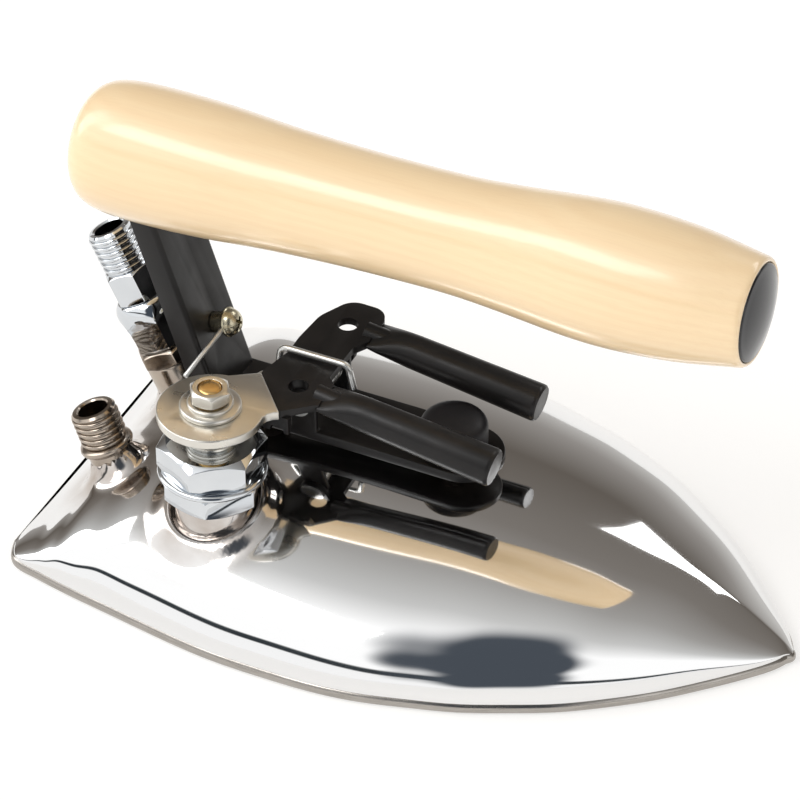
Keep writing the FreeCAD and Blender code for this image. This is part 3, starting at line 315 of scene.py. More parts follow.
def lacquered_maple():
    """Hard maple, turned, under clear gloss lacquer: pale growth rings that run along the handle."""
    settings = bpy.context.scene.iron_handle
    tree, shader, place = new_material(
        MAPLE, IOR=1.5, Coat_Weight=1.0, Coat_Roughness=0.16, Coat_IOR=1.5, Specular_IOR_Level=0.35)
    ring = 1 / settings.grain_spacing
    warp = add_node(tree, "ShaderNodeTexNoise", {"Scale": 18.0, "Detail": 2.0}, {"Vector": place})
    bent = add_node(
        tree, "ShaderNodeVectorMath", {1: (0.010, 0.006, 0.006)}, {0: warp.outputs["Color"], 2: place},
        operation="MULTIPLY_ADD")
    mapped = add_node(
        tree, "ShaderNodeMapping",
        {"Scale": (ring * 0.05, ring * 0.16, ring * 0.3), "Rotation": (0.25, 0.0, 0.06)},
        {"Vector": bent.outputs[0]})
    rings = add_node(
        tree, "ShaderNodeTexWave", {"Scale": 1.0, "Distortion": 3.0, "Detail": 3.0, "Detail Scale": 1.6},
        {"Vector": mapped.outputs[0]}, wave_type="BANDS", bands_direction="Z").outputs["Fac"]
    fibre = noise_of(tree, place, 0.5, 4, (30, 1, 1), 0.6)
    cloud = noise_of(tree, place, 26, 3, (2.5, 1, 1))
    base = blend_colours(tree, spread(tree, rings, 0.0, 0.22, 0.1, 0.95), settings.wood, settings.grain)
    base = blend_colours(tree, spread(tree, cloud, 0.0, 0.5), base, "#FADAAC")
    base = blend_colours(tree, spread(tree, fibre, 0.0, 0.12, 0.45, 0.75), base, "#E0B98A")
    waves = noise_of(tree, place, 18, 2, (3, 1, 1))
    surface_from(tree, shader, base, spread(tree, fibre, 0.30, 0.42), waves, 0.12, 0.06)


# Meshes
def new_piece(name, mesh):
    """Puts a mesh in the scene as an object."""
    piece = bpy.data.objects.new(name, mesh)
    bpy.context.scene.collection.objects.link(piece)
    return piece


def add_mesh(name, points, faces, finish, body, replaces=(), smooth=35.0, bevel=0.0):
    """Makes a piece from points in millimetres, rounds its sharp edges and puts it on a body."""
    mesh = bpy.data.meshes.new(name)
    mesh.from_pydata([Vector(p) * MM for p in points], [], faces)
    return finish_piece(new_piece(name, mesh), finish, body, replaces, smooth, bevel)


def finish_piece(piece, finish, body, replaces=(), smooth=35.0, bevel=0.0, tidy=True):
    """Closes the mesh, rounds its edges, sets its finish and puts it on a body."""
    if tidy:
        work = bmesh.new()
        work.from_mesh(piece.data)
        bmesh.ops.remove_doubles(work, verts=work.verts, dist=1e-7)
        bmesh.ops.recalc_face_normals(work, faces=work.faces)
        work.to_mesh(piece.data)
        work.free()
    if bevel:
        modifier = piece.modifiers.new("Edges", "BEVEL")
        modifier.width = bevel * MM
        modifier.segments = 3
        modifier.limit_method = "ANGLE"
        modifier.angle_limit = math.radians(32)
        bake_modifiers(piece)
    mesh = piece.data
    mesh.shade_smooth()
    mesh.set_sharp_from_angle(angle=math.radians(smooth))
    mesh.materials.clear()
    mesh.materials.append(MATERIALS[finish])
    for polygon in mesh.polygons:
        polygon.material_index = 0
    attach(piece, body)
    if replaces:
        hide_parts(*replaces)
    return piece


def bake_modifiers(piece):
    """Turns a piece and its modifiers into a plain mesh."""
    graph = bpy.context.evaluated_depsgraph_get()
    baked = bpy.data.meshes.new_from_object(piece.evaluated_get(graph))
    piece.modifiers.clear()
    piece.data = baked
    baked.name = piece.name
    return piece


def grid_faces(rows, columns, closed_rows=False, closed_columns=False):
    """Quads over a grid of points that are stored row by row."""
    faces = []
    for i in range(rows if closed_rows else rows - 1):
        for j in range(columns if closed_columns else columns - 1):
            below, beside = (i + 1) % rows, (j + 1) % columns
            here, next_row = i * columns, below * columns
            faces.append([here + j, here + beside, next_row + beside, next_row + j])
    return faces


def bar_faces(rings, steps):
    """Faces of a solid bar made of rings of points, with a flat face at each end."""
    faces = grid_faces(rings, steps, closed_columns=True)
    faces.append(list(range(steps)))
    faces.append([(rings - 1) * steps + j for j in range(steps)])
    return faces


def round_about(j, steps):
    """The angle of one of the steps round a circle."""
    return 2 * math.pi * j / steps


def hexagon_radius(apothem, angle):
    """Distance from the axis to a hexagon's side, seen at an angle."""
    return apothem / math.cos((angle % (math.pi / 3)) - math.pi / 6)


def turned_piece(name, node, finish, body, place, steps, smooth, profile):
    """A closed solid turned about Z from radius, height pairs; radius 0 closes it on the axis."""
    points, faces, starts = [], [], []
    for radius, height in profile:
        starts.append(len(points))
        angles = [round_about(j, steps) for j in range(steps)] if radius else [0.0]
        points += [place @ Vector((radius * math.cos(a), radius * math.sin(a), height)) for a in angles]
    count = len(profile)
    hollow = profile[0][0] != 0 and profile[-1][0] != 0
    for i in range(count if hollow else count - 1):
        a, b = starts[i], starts[(i + 1) % count]
        first, second = profile[i][0], profile[(i + 1) % count][0]
        for j in range(steps):
            k = (j + 1) % steps
            if first == 0:
                faces.append([a, b + k, b + j])
            elif second == 0:
                faces.append([a + j, a + k, b])
            else:
                faces.append([a + j, a + k, b + k, b + j])
    return add_mesh(name, points, faces, finish, body, (node,), smooth)


def leaning(foot, tilt):
    """The place of something made upright whose axis leans back by a tilt."""
    return Matrix.Translation(foot) @ Matrix.Rotation(math.radians(-tilt), 4, "Y")


def upright(x, y, z=0.0, spin=0.0):
    """The place of something that stands upright at a point."""
    return Matrix.Translation((x, y, z)) @ Matrix.Rotation(math.radians(spin), 4, "Z")

def hexagon_piece(name, node, finish, body, place, flats, foot, top, bore, chamfers, steps=120, bevel=0.12):
    """A hexagon nut or collar with turned chamfers of 30 degrees, so each corner ends in an arc."""
    apothem = flats / 2
    cone = math.tan(math.radians(30))
    angles = [round_about(j, steps) for j in range(steps)]
    outer = [hexagon_radius(apothem, angle) for angle in angles]
    rings = []
    for height, chamfer, sign in ((foot, chamfers[0], 1), (top, chamfers[1], -1)):
        start = apothem - chamfer * 0.35
        edge = [(reach, height + sign * max(0.0, reach - start) * cone) for reach in outer]
        flat = [(start, height)] * steps
        inner = [(bore, height)] * steps
        rings += [inner, flat, edge] if sign == 1 else [edge, flat, inner]
    points = []
    for ring in rings:
        for angle, (radius, height) in zip(angles, ring):
            points.append(place @ Vector((radius * math.cos(angle), radius * math.sin(angle), height)))
    faces = grid_faces(len(rings), steps, closed_rows=True, closed_columns=True)
    return add_mesh(name, points, faces, finish, body, (node,), 22.0, bevel)


def softened_copy(node, finish, body, bevel):
    """A copy of a fixed-frame node whose sharp edges are rounded like real sheet metal or turned edges."""
    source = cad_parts[node].data.copy()
    piece = new_piece(node + "_finished", source)
    work = bmesh.new()
    work.from_mesh(source)
    bmesh.ops.remove_doubles(work, verts=work.verts, dist=2e-6)
    bmesh.ops.dissolve_limit(work, angle_limit=math.radians(0.8), verts=work.verts, edges=work.edges)
    work.to_mesh(source)
    work.free()
    return finish_piece(piece, finish, body, (node,), 38.0, bevel, tidy=False)


def cubic_through(values, steps):
    """Natural cubic spline through rows of numbers, evaluated steps times between each pair."""
    rows = np.array(values, float)
    knots = np.concatenate([[0], np.cumsum(np.linalg.norm(np.diff(rows[:, :3], axis=0), axis=1) ** 0.6)])
    count = len(rows)
    gaps = np.diff(knots)
    system = np.zeros((count, count))
    right = np.zeros_like(rows)
    system[0, 0] = system[-1, -1] = 1
    for i in range(1, count - 1):
        system[i, i - 1:i + 2] = gaps[i - 1], 2 * (gaps[i - 1] + gaps[i]), gaps[i]
        right[i] = 6 * ((rows[i + 1] - rows[i]) / gaps[i] - (rows[i] - rows[i - 1]) / gaps[i - 1])
    bend = np.linalg.solve(system, right)
    found = []
    for i in range(count - 1):
        for k in range(steps):
            t = gaps[i] * k / steps
            h = gaps[i]
            found.append(bend[i] * (h - t) ** 3 / (6 * h) + bend[i + 1] * t ** 3 / (6 * h)
                         + (rows[i] / h - bend[i] * h / 6) * (h - t)
                         + (rows[i + 1] / h - bend[i + 1] * h / 6) * t)
    found.append(rows[-1])
    return np.array(found)


# Geometry node trees
def new_tree(name, inputs):
    """A geometry node tree with named inputs; returns it, its input node and its output node."""
    tree = bpy.data.node_groups.new(name, "GeometryNodeTree")
    tree.interface.new_socket("Geometry", in_out="INPUT", socket_type="NodeSocketGeometry")
    for label, kind, default in inputs:
        socket = tree.interface.new_socket(label, in_out="INPUT", socket_type=kind)
        if default is not None:
            socket.default_value = default
    tree.interface.new_socket("Geometry", in_out="OUTPUT", socket_type="NodeSocketGeometry")
    return tree, tree.nodes.new("NodeGroupInput"), tree.nodes.new("NodeGroupOutput")


def close_tree(tree, output, geometry, finish):
    """Ends a tree in Realize Instances and Set Material."""
    real = add_node(tree, "GeometryNodeRealizeInstances", links={"Geometry": geometry})
    paint = add_node(
        tree, "GeometryNodeSetMaterial", {"Material": MATERIALS[finish]}, {"Geometry": real.outputs[0]})
    tree.links.new(paint.outputs[0], output.inputs[0])


def wound_tree(finish):
    """A bar wound into a helix about Z: a wire for springs, or a ridge with a pointed section for threads."""
    tree, start, end = new_tree("Wound_" + finish, [
        ("Radius", "NodeSocketFloat", 0.003), ("Height", "NodeSocketFloat", 0.01),
        ("Turns", "NodeSocketFloat", 5.0), ("Section", "NodeSocketFloat", 0.0005),
        ("Section sides", "NodeSocketInt", 12), ("Steps per turn", "NodeSocketInt", 48)])
    given = start.outputs
    spiral = add_node(tree, "GeometryNodeCurveSpiral", links={
        "Start Radius": given["Radius"], "End Radius": given["Radius"], "Height": given["Height"],
        "Rotations": given["Turns"], "Resolution": given["Steps per turn"]})
    section = add_node(tree, "GeometryNodeCurvePrimitiveCircle", links={
        "Resolution": given["Section sides"], "Radius": given["Section"]})
    solid = add_node(
        tree, "GeometryNodeCurveToMesh", {"Fill Caps": True},
        {"Curve": spiral.outputs[0], "Profile Curve": section.outputs[0]})
    close_tree(tree, end, solid.outputs[0], finish)
    return tree


def grow(piece, tree, sizes):
    """Runs a geometry node tree on a piece with the given inputs and keeps its result as a plain mesh."""
    modifier = piece.modifiers.new("Grow", "NODES")
    modifier.node_group = tree
    for item in tree.interface.items_tree:
        if item.item_type == "SOCKET" and item.in_out == "INPUT" and item.name in sizes:
            modifier[item.identifier] = sizes[item.name]
    return bake_modifiers(piece)


def wound_piece(name, finish, body, place, radius, height, turns, section, replaces=(), **sizes):
    """A spring or a thread's ridge from sizes in millimetres, wound up from its place."""
    piece = grow(new_piece(name, bpy.data.meshes.new(name)), wound_tree(finish), {
        "Radius": radius * MM, "Height": height * MM, "Turns": turns, "Section": section * MM, **sizes})
    piece.data.transform(
        Matrix.Diagonal((MM, MM, MM, 1)) @ place @ Matrix.Diagonal((1 / MM, 1 / MM, 1 / MM, 1)))
    return finish_piece(piece, finish, body, replaces, 50.0)


# Shell and sole. Each station: x and half width on the rim, crown over the rim, lead of the crown,
# nose ridge and fullness.
STATIONS = [
    (106.2, 2.2, 0.0, 1.3, 0.40, 2.2), (104.6, 5.2, 1.9, 1.0, 0.40, 2.2),
    (100.5, 10.4, 5.4, 0.5, 0.38, 2.2), (90.5, 20.8, 12.2, 0.0, 0.28, 2.2),
    (80.4, 30.2, 16.8, 0.0, 0.17, 2.1), (70.0, 38.2, 20.1, 0.0, 0.09, 2.0),
    (59.0, 45.5, 22.9, 0.0, 0.03, 1.98), (47.4, 51.4, 25.0, 0.0, 0.0, 1.95),
    (35.6, 56.7, 26.7, 0.0, 0.0, 1.92), (23.0, 60.7, 27.8, 0.0, 0.0, 1.9),
    (10.4, 64.1, 28.4, 0.0, 0.0, 1.9), (-3.2, 66.0, 28.7, 0.0, 0.0, 1.9),
    (-17.7, 66.5, 28.7, 0.0, 0.0, 1.9), (-32.7, 66.2, 28.3, 0.0, 0.0, 1.9),
    (-48.8, 64.3, 27.3, 0.0, 0.0, 1.95), (-60.0, 62.5, 25.8, 0.0, 0.0, 2.05),
    (-69.0, 61.1, 23.5, 0.0, 0.0, 2.2), (-76.0, 60.0, 20.5, 0.0, 0.0, 2.2),
    (-82.0, 58.9, 17.2, 0.0, 0.0, 2.3), (-86.0, 58.1, 13.8, 0.1, 0.0, 2.3),
    (-89.2, 57.4, 10.6, 0.2, 0.0, 2.4), (-92.0, 56.9, 7.8, 0.3, 0.0, 2.4),
    (-94.5, 56.3, 5.6, 0.4, 0.0, 2.4), (-96.9, 55.1, 3.6, 0.5, 0.0, 2.4), (-98.9, 52.6, 1.9, 0.6, 0.0, 2.4),
    (-100.6, 48.0, 0.0, 0.8, 0.0, 2.4),
]
ACROSS = 76
ALONG = 10
# Welds that swell out of the shell: foot, direction, inner, crest and outer radius, share of the weld
# swell, and falloff. A falloff of 1 is a bell shape, and a larger one is a curve that starts steeply.
WELDS = [
    (Vector((VALVE_X, VALVE_Y, 25.0)), Vector((0, 0, 1)), 10.5, 13.2, 18.5, 0.55, 1),
    (NIPPLE_FOOT, leaning(NIPPLE_FOOT, NIPPLE_TILT).to_3x3() @ Vector((0, 0, 1)), 5.0, 6.2, 13.0, 1.1, 2.8),
    (INLET_FOOT, leaning(INLET_FOOT, INLET_TILT).to_3x3() @ Vector((0, 0, 1)), 7.0, 8.2, 16.0, 1.3, 2.8),
    (Vector((KNOB_X, 0, 31.0)), Vector((0, 0, 1)), 3.5, 4.0, 7.5, 0.3, 2.0),
    (Vector((REAR_STUD_X, 0, 31.0)), Vector((0, 0, 1)), 3.5, 4.0, 7.5, 0.3, 2.0),
]
WELD_HEIGHT = 14
# how softly the pressed ridge of the nose is creased
CREASE = 0.0012


def swollen(point, swell):
    """A shell point, raised where a weld swells out of the sheet."""
    moved = point.copy()
    for foot, direction, inner, crest, outer, share, falloff in WELDS:
        offset = point - foot
        height = offset.dot(direction)
        away = (offset - direction * height).length
        if away < outer and abs(height) < WELD_HEIGHT:
            if away < crest:
                rise = 0.45 + 0.55 * math.sin(math.pi / 2 * max(0.0, (away - inner) / (crest - inner)))
            else:
                fall = (outer - away) / (outer - crest)
                rise = fall * fall * (3 - 2 * fall) if falloff == 1 else fall ** falloff
            moved += direction * (swell * share * rise)
    return moved


def shell_rows():
    """Rows of points over the shell, nose to heel, each from the near rim to the far rim."""
    stations = cubic_through(STATIONS, ALONG)
    across = [math.sin(math.pi / 2 * i / ACROSS) for i in range(-ACROSS, ACROSS + 1)]
    rows = []
    for x, half, crown, lead, ridge, fullness in stations:
        ridge = max(0.0, ridge)
        row = []
        for t in across:
            side = abs(t)
            crease = math.sqrt(side * side + CREASE) - math.sqrt(CREASE)
            curve = max(0.0, 1 - side ** fullness) ** (1 / fullness)
            arch = 1 - ridge * crease - (1 - ridge) * (1 - curve)
            if side > 0.999999:
                arch = 0.0
            row.append(Vector((x + lead * (1 - t * t), half * t, RIM + max(0.0, crown) * arch)))
        rows.append(row)
    return rows


def outline_of(rows):
    """The rim as one closed loop, nose first, then the near side to the heel and back on the far side."""
    near = [row[0] for row in rows]
    far = [row[-1] for row in rows]
    nose = rows[0][1:-1][::-1]
    heel = rows[-1][1:-1]
    loop = near + heel[::6] + far[::-1] + nose[::6]
    return [Vector((p.x, p.y, 0)) for p in loop]


def inset_loop(loop, distance):
    """A loop moved inwards along its own normals."""
    moved = []
    count = len(loop)
    for i, point in enumerate(loop):
        tangent = loop[(i + 1) % count] - loop[i - 1]
        normal = Vector((-tangent.y, tangent.x, 0))
        if normal.length < 1e-9:
            normal = -point
        normal.normalize()
        if normal.dot(-point) < 0:
            normal = -normal
        moved.append(point + normal * distance)
    return moved


class IRON_OT_shell(bpy.types.Operator):
    """Build the polished shell with its weld swells"""
    bl_idname = "iron.shell"
    bl_label = "Polished shell"

    def execute(self, context):
        swell = context.scene.iron_shell.weld_swell / MM
        rows = shell_rows()
        columns = len(rows[0])
        points = [swollen(p, swell) for row in rows for p in row]
        faces = grid_faces(len(rows), columns)
        # the sheet's lower side, flat on the sole, closes the shape
        for i in range(len(rows) - 1):
            near, far = i * columns, (i + 1) * columns
            faces.append([near, far, far + columns - 1, near + columns - 1])
        faces.append(list(range(columns)))
        faces.append([(len(rows) - 1) * columns + j for j in range(columns)][::-1])
        add_mesh("shell_polished", points, faces, MIRROR_STEEL, ROOT, ("shell",), 60.0)
        return {"FINISHED"}


def drilled_tree():
    """A plate drilled through at the points of a pattern object."""
    tree, start, end = new_tree("Steam_holes", [
        ("Pattern", "NodeSocketObject", None), ("Hole radius", "NodeSocketFloat", 0.0015),
        ("Depth", "NodeSocketFloat", 0.02), ("Sides", "NodeSocketInt", 20)])
    given = start.outputs
    pattern = add_node(tree, "GeometryNodeObjectInfo", links={"Object": given["Pattern"]})
    drill = add_node(tree, "GeometryNodeMeshCylinder", links={
        "Vertices": given["Sides"], "Radius": given["Hole radius"], "Depth": given["Depth"]})
    drills = add_node(tree, "GeometryNodeInstanceOnPoints", links={
        "Points": pattern.outputs["Geometry"], "Instance": drill.outputs[0]})
    cutters = add_node(tree, "GeometryNodeRealizeInstances", links={"Geometry": drills.outputs[0]})
    cut = add_node(
        tree, "GeometryNodeMeshBoolean", operation="DIFFERENCE",
        links={"Mesh 1": given["Geometry"], "Mesh 2": cutters.outputs[0]})
    close_tree(tree, end, cut.outputs[0], GROUND_STEEL)
    return tree


# The sole reaches this far past the shell's rim, as a share of its length.
SOLE_LEDGE = 0.8 / 107
SOLE_SHARP = 40.0


def steam_holes():
    """The sole's holes: pairs along both edges, pairs nearer the middle and three on the middle line."""
    holes = []
    for ring in range(5):
        x = 66 - 26 * ring
        reach = min(0.52 * (108 - x) ** 0.86, 40.0)
        for side in (-1, 1):
            holes += [(x, side * reach, 0), (x - 10, side * reach * 0.55, 0)]
    return holes + [(78 - 14 * i, 0, 0) for i in range(3)]


class IRON_OT_sole(bpy.types.Operator):
    """Build the sole plate with its rounded rim and steam holes"""
    bl_idname = "iron.sole"
    bl_label = "Sole plate"

    def execute(self, context):
        radius = context.scene.iron_shell.rim_round / MM
        loop = [p * (1 + SOLE_LEDGE) for p in outline_of(shell_rows())]
        section = [(radius, 0.0)]
        for k in range(1, 7):
            angle = math.pi / 2 * k / 6
            section.append((radius * (1 - math.sin(angle)), radius * (1 - math.cos(angle))))
        for k in range(6):
            angle = math.pi / 2 * k / 5
            section.append((radius * (1 - math.cos(angle)), RIM - radius + radius * math.sin(angle)))
        points = []
        for inset, height in section:
            points += [Vector((p.x, p.y, height)) for p in inset_loop(loop, inset)]
        count = len(loop)
        faces = grid_faces(len(section), count, closed_columns=True)
        faces.append(list(range(count))[::-1])
        faces.append([(len(section) - 1) * count + j for j in range(count)])
        plate = add_mesh(
            "sole_plate_ground", points, faces, GROUND_STEEL, ROOT, ("sole_plate",), SOLE_SHARP)
        marks = bpy.data.meshes.new("hole_pattern")
        marks.from_pydata([Vector(h) * MM for h in steam_holes()], [], [])
        pattern = new_piece("hole_pattern", marks)
        grow(plate, drilled_tree(), {"Pattern": pattern})
        bpy.data.objects.remove(pattern)
        plate.data.shade_smooth()
        plate.data.set_sharp_from_angle(angle=math.radians(SOLE_SHARP))
        return {"FINISHED"}


# Handle: x along its axis and radius there.
HANDLE_PROFILE = [
    (-99.7, 0.0), (-99.5, 6.6), (-98.8, 11.4), (-97.0, 14.8), (-94.0, 16.9), (-89.0, 18.0),
    (-82.0, 18.4), (-70.0, 18.3), (-56.0, 17.6), (-44.5, 16.7), (-33.0, 16.05), (-22.0, 15.65),
    (-11.0, 15.4), (0.0, 15.35), (11.0, 15.5), (22.0, 16.2), (33.0, 17.2), (43.0, 18.1),
    (54.0, 18.5), (64.6, 18.05), (75.0, 17.05), (85.0, 15.4), (90.2, 14.5),
]
HANDLE_MOUTH = [
    (14.3, 90.7), (14.05, 91.15), (13.7, 91.4), (13.3, 91.4), (13.08, 91.2), (13.05, 90.8), (13.05, 87.6),
    (0.0, 87.6),
]
# The cap's flat radius, the radius of its rounded edge, its edge's height along the handle and its crown.
CAP_FLAT, CAP_EDGE, CAP_HEIGHT, CAP_CROWN = 12.15, 0.8, 91.0, 2.1


def handle_place():
    """From a solid turned about Z to the handle's own axis, with the nose end at high Z."""
    return (Matrix.Translation((0, 0, HANDLE_HEIGHT)) @ Matrix.Rotation(math.radians(-HANDLE_TILT), 4, "Y")
            @ Matrix.Rotation(math.radians(90), 4, "Y"))


class IRON_OT_handle(bpy.types.Operator):
    """Turn the maple handle and its end cap"""
    bl_idname = "iron.handle"
    bl_label = "Handle and cap"

    def execute(self, context):
        line = cubic_through([(x, 0.0, r) for x, r in HANDLE_PROFILE], 6)
        profile = [(0.0 if i == 0 else max(0.05, float(r)), float(x)) for i, (x, _, r) in enumerate(line)]
        turned_piece(
            "handle_maple", "handle", MAPLE, ROOT, handle_place(), 128, 45.0, profile + HANDLE_MOUTH)
        cap = [(0.0, 87.7), (12.9, 87.7), (12.95, 90.6)]
        for k in range(5):
            angle = math.pi / 2 * k / 4
            cap.append((CAP_FLAT + CAP_EDGE * math.cos(angle), CAP_HEIGHT + CAP_EDGE * math.sin(angle)))
        for k in range(1, 9):
            radius = CAP_FLAT * (1 - k / 8)
            cap.append((radius, CAP_HEIGHT + CAP_EDGE + CAP_CROWN * (1 - (radius / CAP_FLAT) ** 2)))
        turned_piece("handle_cap_gloss", "handle_cap", GLOSS_BLACK, ROOT, handle_place(), 96, 40.0, cap)
        return {"FINISHED"}
# Turned pieces: name, node, finish, body, steps, sharp angle, and radius, height pairs up the axis.
VALVE_TURNED = (
    ("valve_boss_welded", "valve_boss", MIRROR_STEEL, ROOT, 96, 35.0, (
        (8.2, 19.0), (10.5, 19.0), (10.5, 30.3), (10.2, 30.8), (9.7, 31.0), (8.2, 31.0))),
    ("sealing_ring_chromed", "sealing_ring", CHROME, ROOT, 128, 50.0, (
        (9.2, 38.5), (13.9, 38.5), (14.5, 38.75), (14.8, 39.2), (14.85, 39.5), (14.7, 39.95), (14.2, 40.3),
        (13.6, 40.4), (9.2, 40.4))),
    ("valve_stem_turned", "valve_stem", BRASS, STEM, 48, 35.0, (
        (0.0, 17.0), (5.0, 17.0), (5.0, 18.6), (3.0, 18.6), (3.0, 38.2), (4.4, 38.2), (4.4, 39.6),
        (3.0, 39.6), (3.0, 54.9), (3.8, 54.9), (4.0, 55.1), (4.0, 56.1), (3.8, 56.3), (3.25, 56.3),
        (3.25, 65.1), (3.15, 65.6), (2.85, 66.0), (2.3, 66.25), (1.2, 66.38), (0.0, 66.4))),
    ("wide_washer_plated", "wide_washer", ZINC, LEVER, 96, 50.0, (
        (4.3, 59.4), (7.9, 59.4), (8.2, 59.55), (8.3, 59.9), (8.3, 60.3), (8.18, 60.65), (7.8, 60.9),
        (4.3, 60.9))),
    ("narrow_washer_plated", "narrow_washer", ZINC, LEVER, 96, 50.0, (
        (4.3, 60.9), (6.1, 60.9), (6.2, 61.05), (6.2, 61.45), (6.05, 61.75), (5.8, 61.9), (4.45, 61.9),
        (4.3, 61.75))),
)
GLAND = (
    (3.1, 46.5), (4.4, 46.5), (4.4, 49.0), (6.2, 49.0), (6.2, 52.8), (5.8, 53.3), (3.3, 53.3), (3.1, 53.1))
# Hexagons of the valve: name, node, finish, body, spin, then flats, foot, top, bore, chamfers, steps, bevel.
VALVE_HEXAGONS = (
    ("valve_body_chromed", "valve_body", CHROME, ROOT, 48.5, 24.0, 31.0, 38.5, 9.2, (1.0, 1.0)),
    ("valve_bonnet_chromed", "valve_bonnet", CHROME, ROOT, 33.5, 25.8, 40.4, 49.0, 4.5, (1.1, 2.0)),
    ("stem_nut_plated", "stem_nut", ZINC, STEM, 3.5, 10.0, 62.4, 66.2, 3.3, (0.6, 1.2), 96, 0.15),
)


class IRON_OT_valve(bpy.types.Operator):
    """Build the steam valve: boss, body, ring, bonnet, gland, stem, washers and nut"""
    bl_idname = "iron.valve"
    bl_label = "Steam valve"

    def execute(self, context):
        axis = upright(VALVE_X, VALVE_Y)
        for name, node, finish, body, steps, smooth, profile in VALVE_TURNED:
            turned_piece(name, node, finish, body, axis, steps, smooth, profile)
        turned_piece("gland_core", "gland_nut", ZINC, ROOT, axis, 72, 35.0, GLAND)
        for name, node, finish, body, spin, *sizes in VALVE_HEXAGONS:
            hexagon_piece(name, node, finish, body, upright(VALVE_X, VALVE_Y, spin=spin), *sizes)
        wound_piece(
            "gland_thread", ZINC, ROOT, upright(VALVE_X, VALVE_Y, 49.3), 6.15, 3.4, 3.4, 0.4,
            **{"Section sides": 6})
        wound_piece(
            "valve_spring_wound", WIRE, ROOT, upright(VALVE_X, VALVE_Y, 24.6), 3.85, 12.2, 5.17, 0.42,
            ("valve_spring",))
        softened_copy("valve_arm", ZINC, LEVER, 0.45)
        return {"FINISHED"}


# Pipe fittings: heights go up each one's own axis from its foot in the shell.
def nipple_outline(core):
    """The return nipple's outline over a thread core."""
    return (
        (PIPE_BORE, -4.0), (6.4, -4.0), (6.1, 2.0), (6.0, 6.1), (6.7, 6.3), (7.3, 6.8), (7.5, 7.5),
        (7.3, 8.2), (6.7, 8.6), (core, 8.8), (core, 17.6), (6.2, 17.9), (6.25, 18.3), (5.7, 18.9),
        (4.6, 19.0), (PIPE_BORE, 18.6))


SOCKET = (
    (PIPE_BORE, -5.0), (8.2, -5.0), (8.4, 3.0), (8.4, 12.4), (8.1, 12.9), (7.7, 13.0), (PIPE_BORE, 13.0))
INLET_SPIN = 10
# The union's rings: height, half width over the flats, and how round it is, from hexagon to circle.
UNION_RINGS = (
    (17.8, 7.0, 0.6), (18.1, 7.3, 0.4), (18.8, 7.7, 0.12), (20.3, 7.7, 0.0), (23.0, 7.75, 0.0),
    (25.5, 7.9, 0.0), (27.0, 8.3, 0.12), (28.0, 8.8, 0.5), (29.2, 9.0, 0.8), (30.6, 8.9, 1.0),
    (31.8, 8.4, 1.0), (32.6, 7.8, 1.0), (33.0, 7.2, 1.0))


class IRON_OT_fittings(bpy.types.Operator):
    """Build the return nipple and the steam inlet with their pipe threads"""
    bl_idname = "iron.fittings"
    bl_label = "Pipe fittings"

    def execute(self, context):
        settings = context.scene.iron_valve
        pitch, depth = settings.thread_pitch / MM, settings.thread_depth / MM
        nipple, inlet = leaning(NIPPLE_FOOT, NIPPLE_TILT), leaning(INLET_FOOT, INLET_TILT)
        flats = inlet @ upright(0, 0, spin=INLET_SPIN)
        core = PIPE_RADIUS - depth
        turned_piece(
            "return_nipple_core", "return_nipple", TINTED_STEEL, ROOT, nipple, 96, 40.0,
            nipple_outline(core))
        turned_piece("inlet_socket_welded", "inlet_socket", TINTED_STEEL, ROOT, inlet, 96, 35.0, SOCKET)
        hexagon_piece(
            "inlet_lock_nut_chromed", "inlet_lock_nut", TINTED_STEEL, ROOT, flats, 16.6, 13.0, 17.8,
            PIPE_BORE, (0.6, 0.6))
        inlet_union(inlet)
        hexagon_piece(
            "inlet_adaptor_chromed", "inlet_adaptor", CHROME, ROOT, flats, 13.6, 33.0, 42.6,
            PIPE_BORE, (0.4, 1.2))
        turned_piece("inlet_thread_core", "inlet_thread", CHROME, ROOT, inlet, 96, 35.0, (
            (PIPE_BORE, 42.6), (core, 42.6), (core, 53.9), (6.1, 54.1), (6.1, 54.4), (5.6, 54.9),
            (4.7, 55.0), (PIPE_BORE, 54.6)))
        for name, place, low, high, finish in (
                ("return_nipple_thread", nipple, 9.3, 17.7, TINTED_STEEL),
                ("inlet_thread_ridge", inlet, 43.5, 53.9, CHROME)):
            wound_piece(
                name, finish, ROOT, place @ upright(0, 0, low), core + depth * 0.22, high - low,
                (high - low) / pitch, depth * 0.78, **{"Section sides": 8, "Steps per turn": 64})
        return {"FINISHED"}


def inlet_union(place):
    """The union: a hexagon below that swells into a round shoulder above."""
    steps, points = 120, []
    bottom, top = UNION_RINGS[0][0], UNION_RINGS[-1][0]
    for height, apothem, share in ((bottom, PIPE_BORE, None), *UNION_RINGS, (top, PIPE_BORE, None)):
        for j in range(steps):
            angle = round_about(j, steps)
            radius = apothem
            if share is not None:
                radius = hexagon_radius(apothem, angle) * (1 - share) + apothem * 1.02 * share
            turn = angle + math.radians(INLET_SPIN)
            points.append(place @ Vector((radius * math.cos(turn), radius * math.sin(turn), height)))
    faces = grid_faces(len(UNION_RINGS) + 2, steps, closed_rows=True, closed_columns=True)
    add_mesh("inlet_union_chromed", points, faces, CHROME, ROOT, ("inlet_union",), 28.0)


# Lever. A grip's rings: distance along it, half width, half height and lift of the middle.
GRIP_RINGS = (
    (0.2, 5.6, 1.3, -0.1), (1.0, 5.7, 1.6, -0.1), (3.0, 5.6, 2.5, -0.1), (5.5, 5.2, 3.5, -0.05),
    (8.5, 4.85, 4.3, 0.0), (12.0, 4.75, 4.7, 0.0), (48.6, 5.25, 5.25, 0.0), (49.4, 5.15, 5.15, 0.0),
    (49.9, 4.7, 4.7, 0.0))
GRIP_DROP = math.radians(7.6)
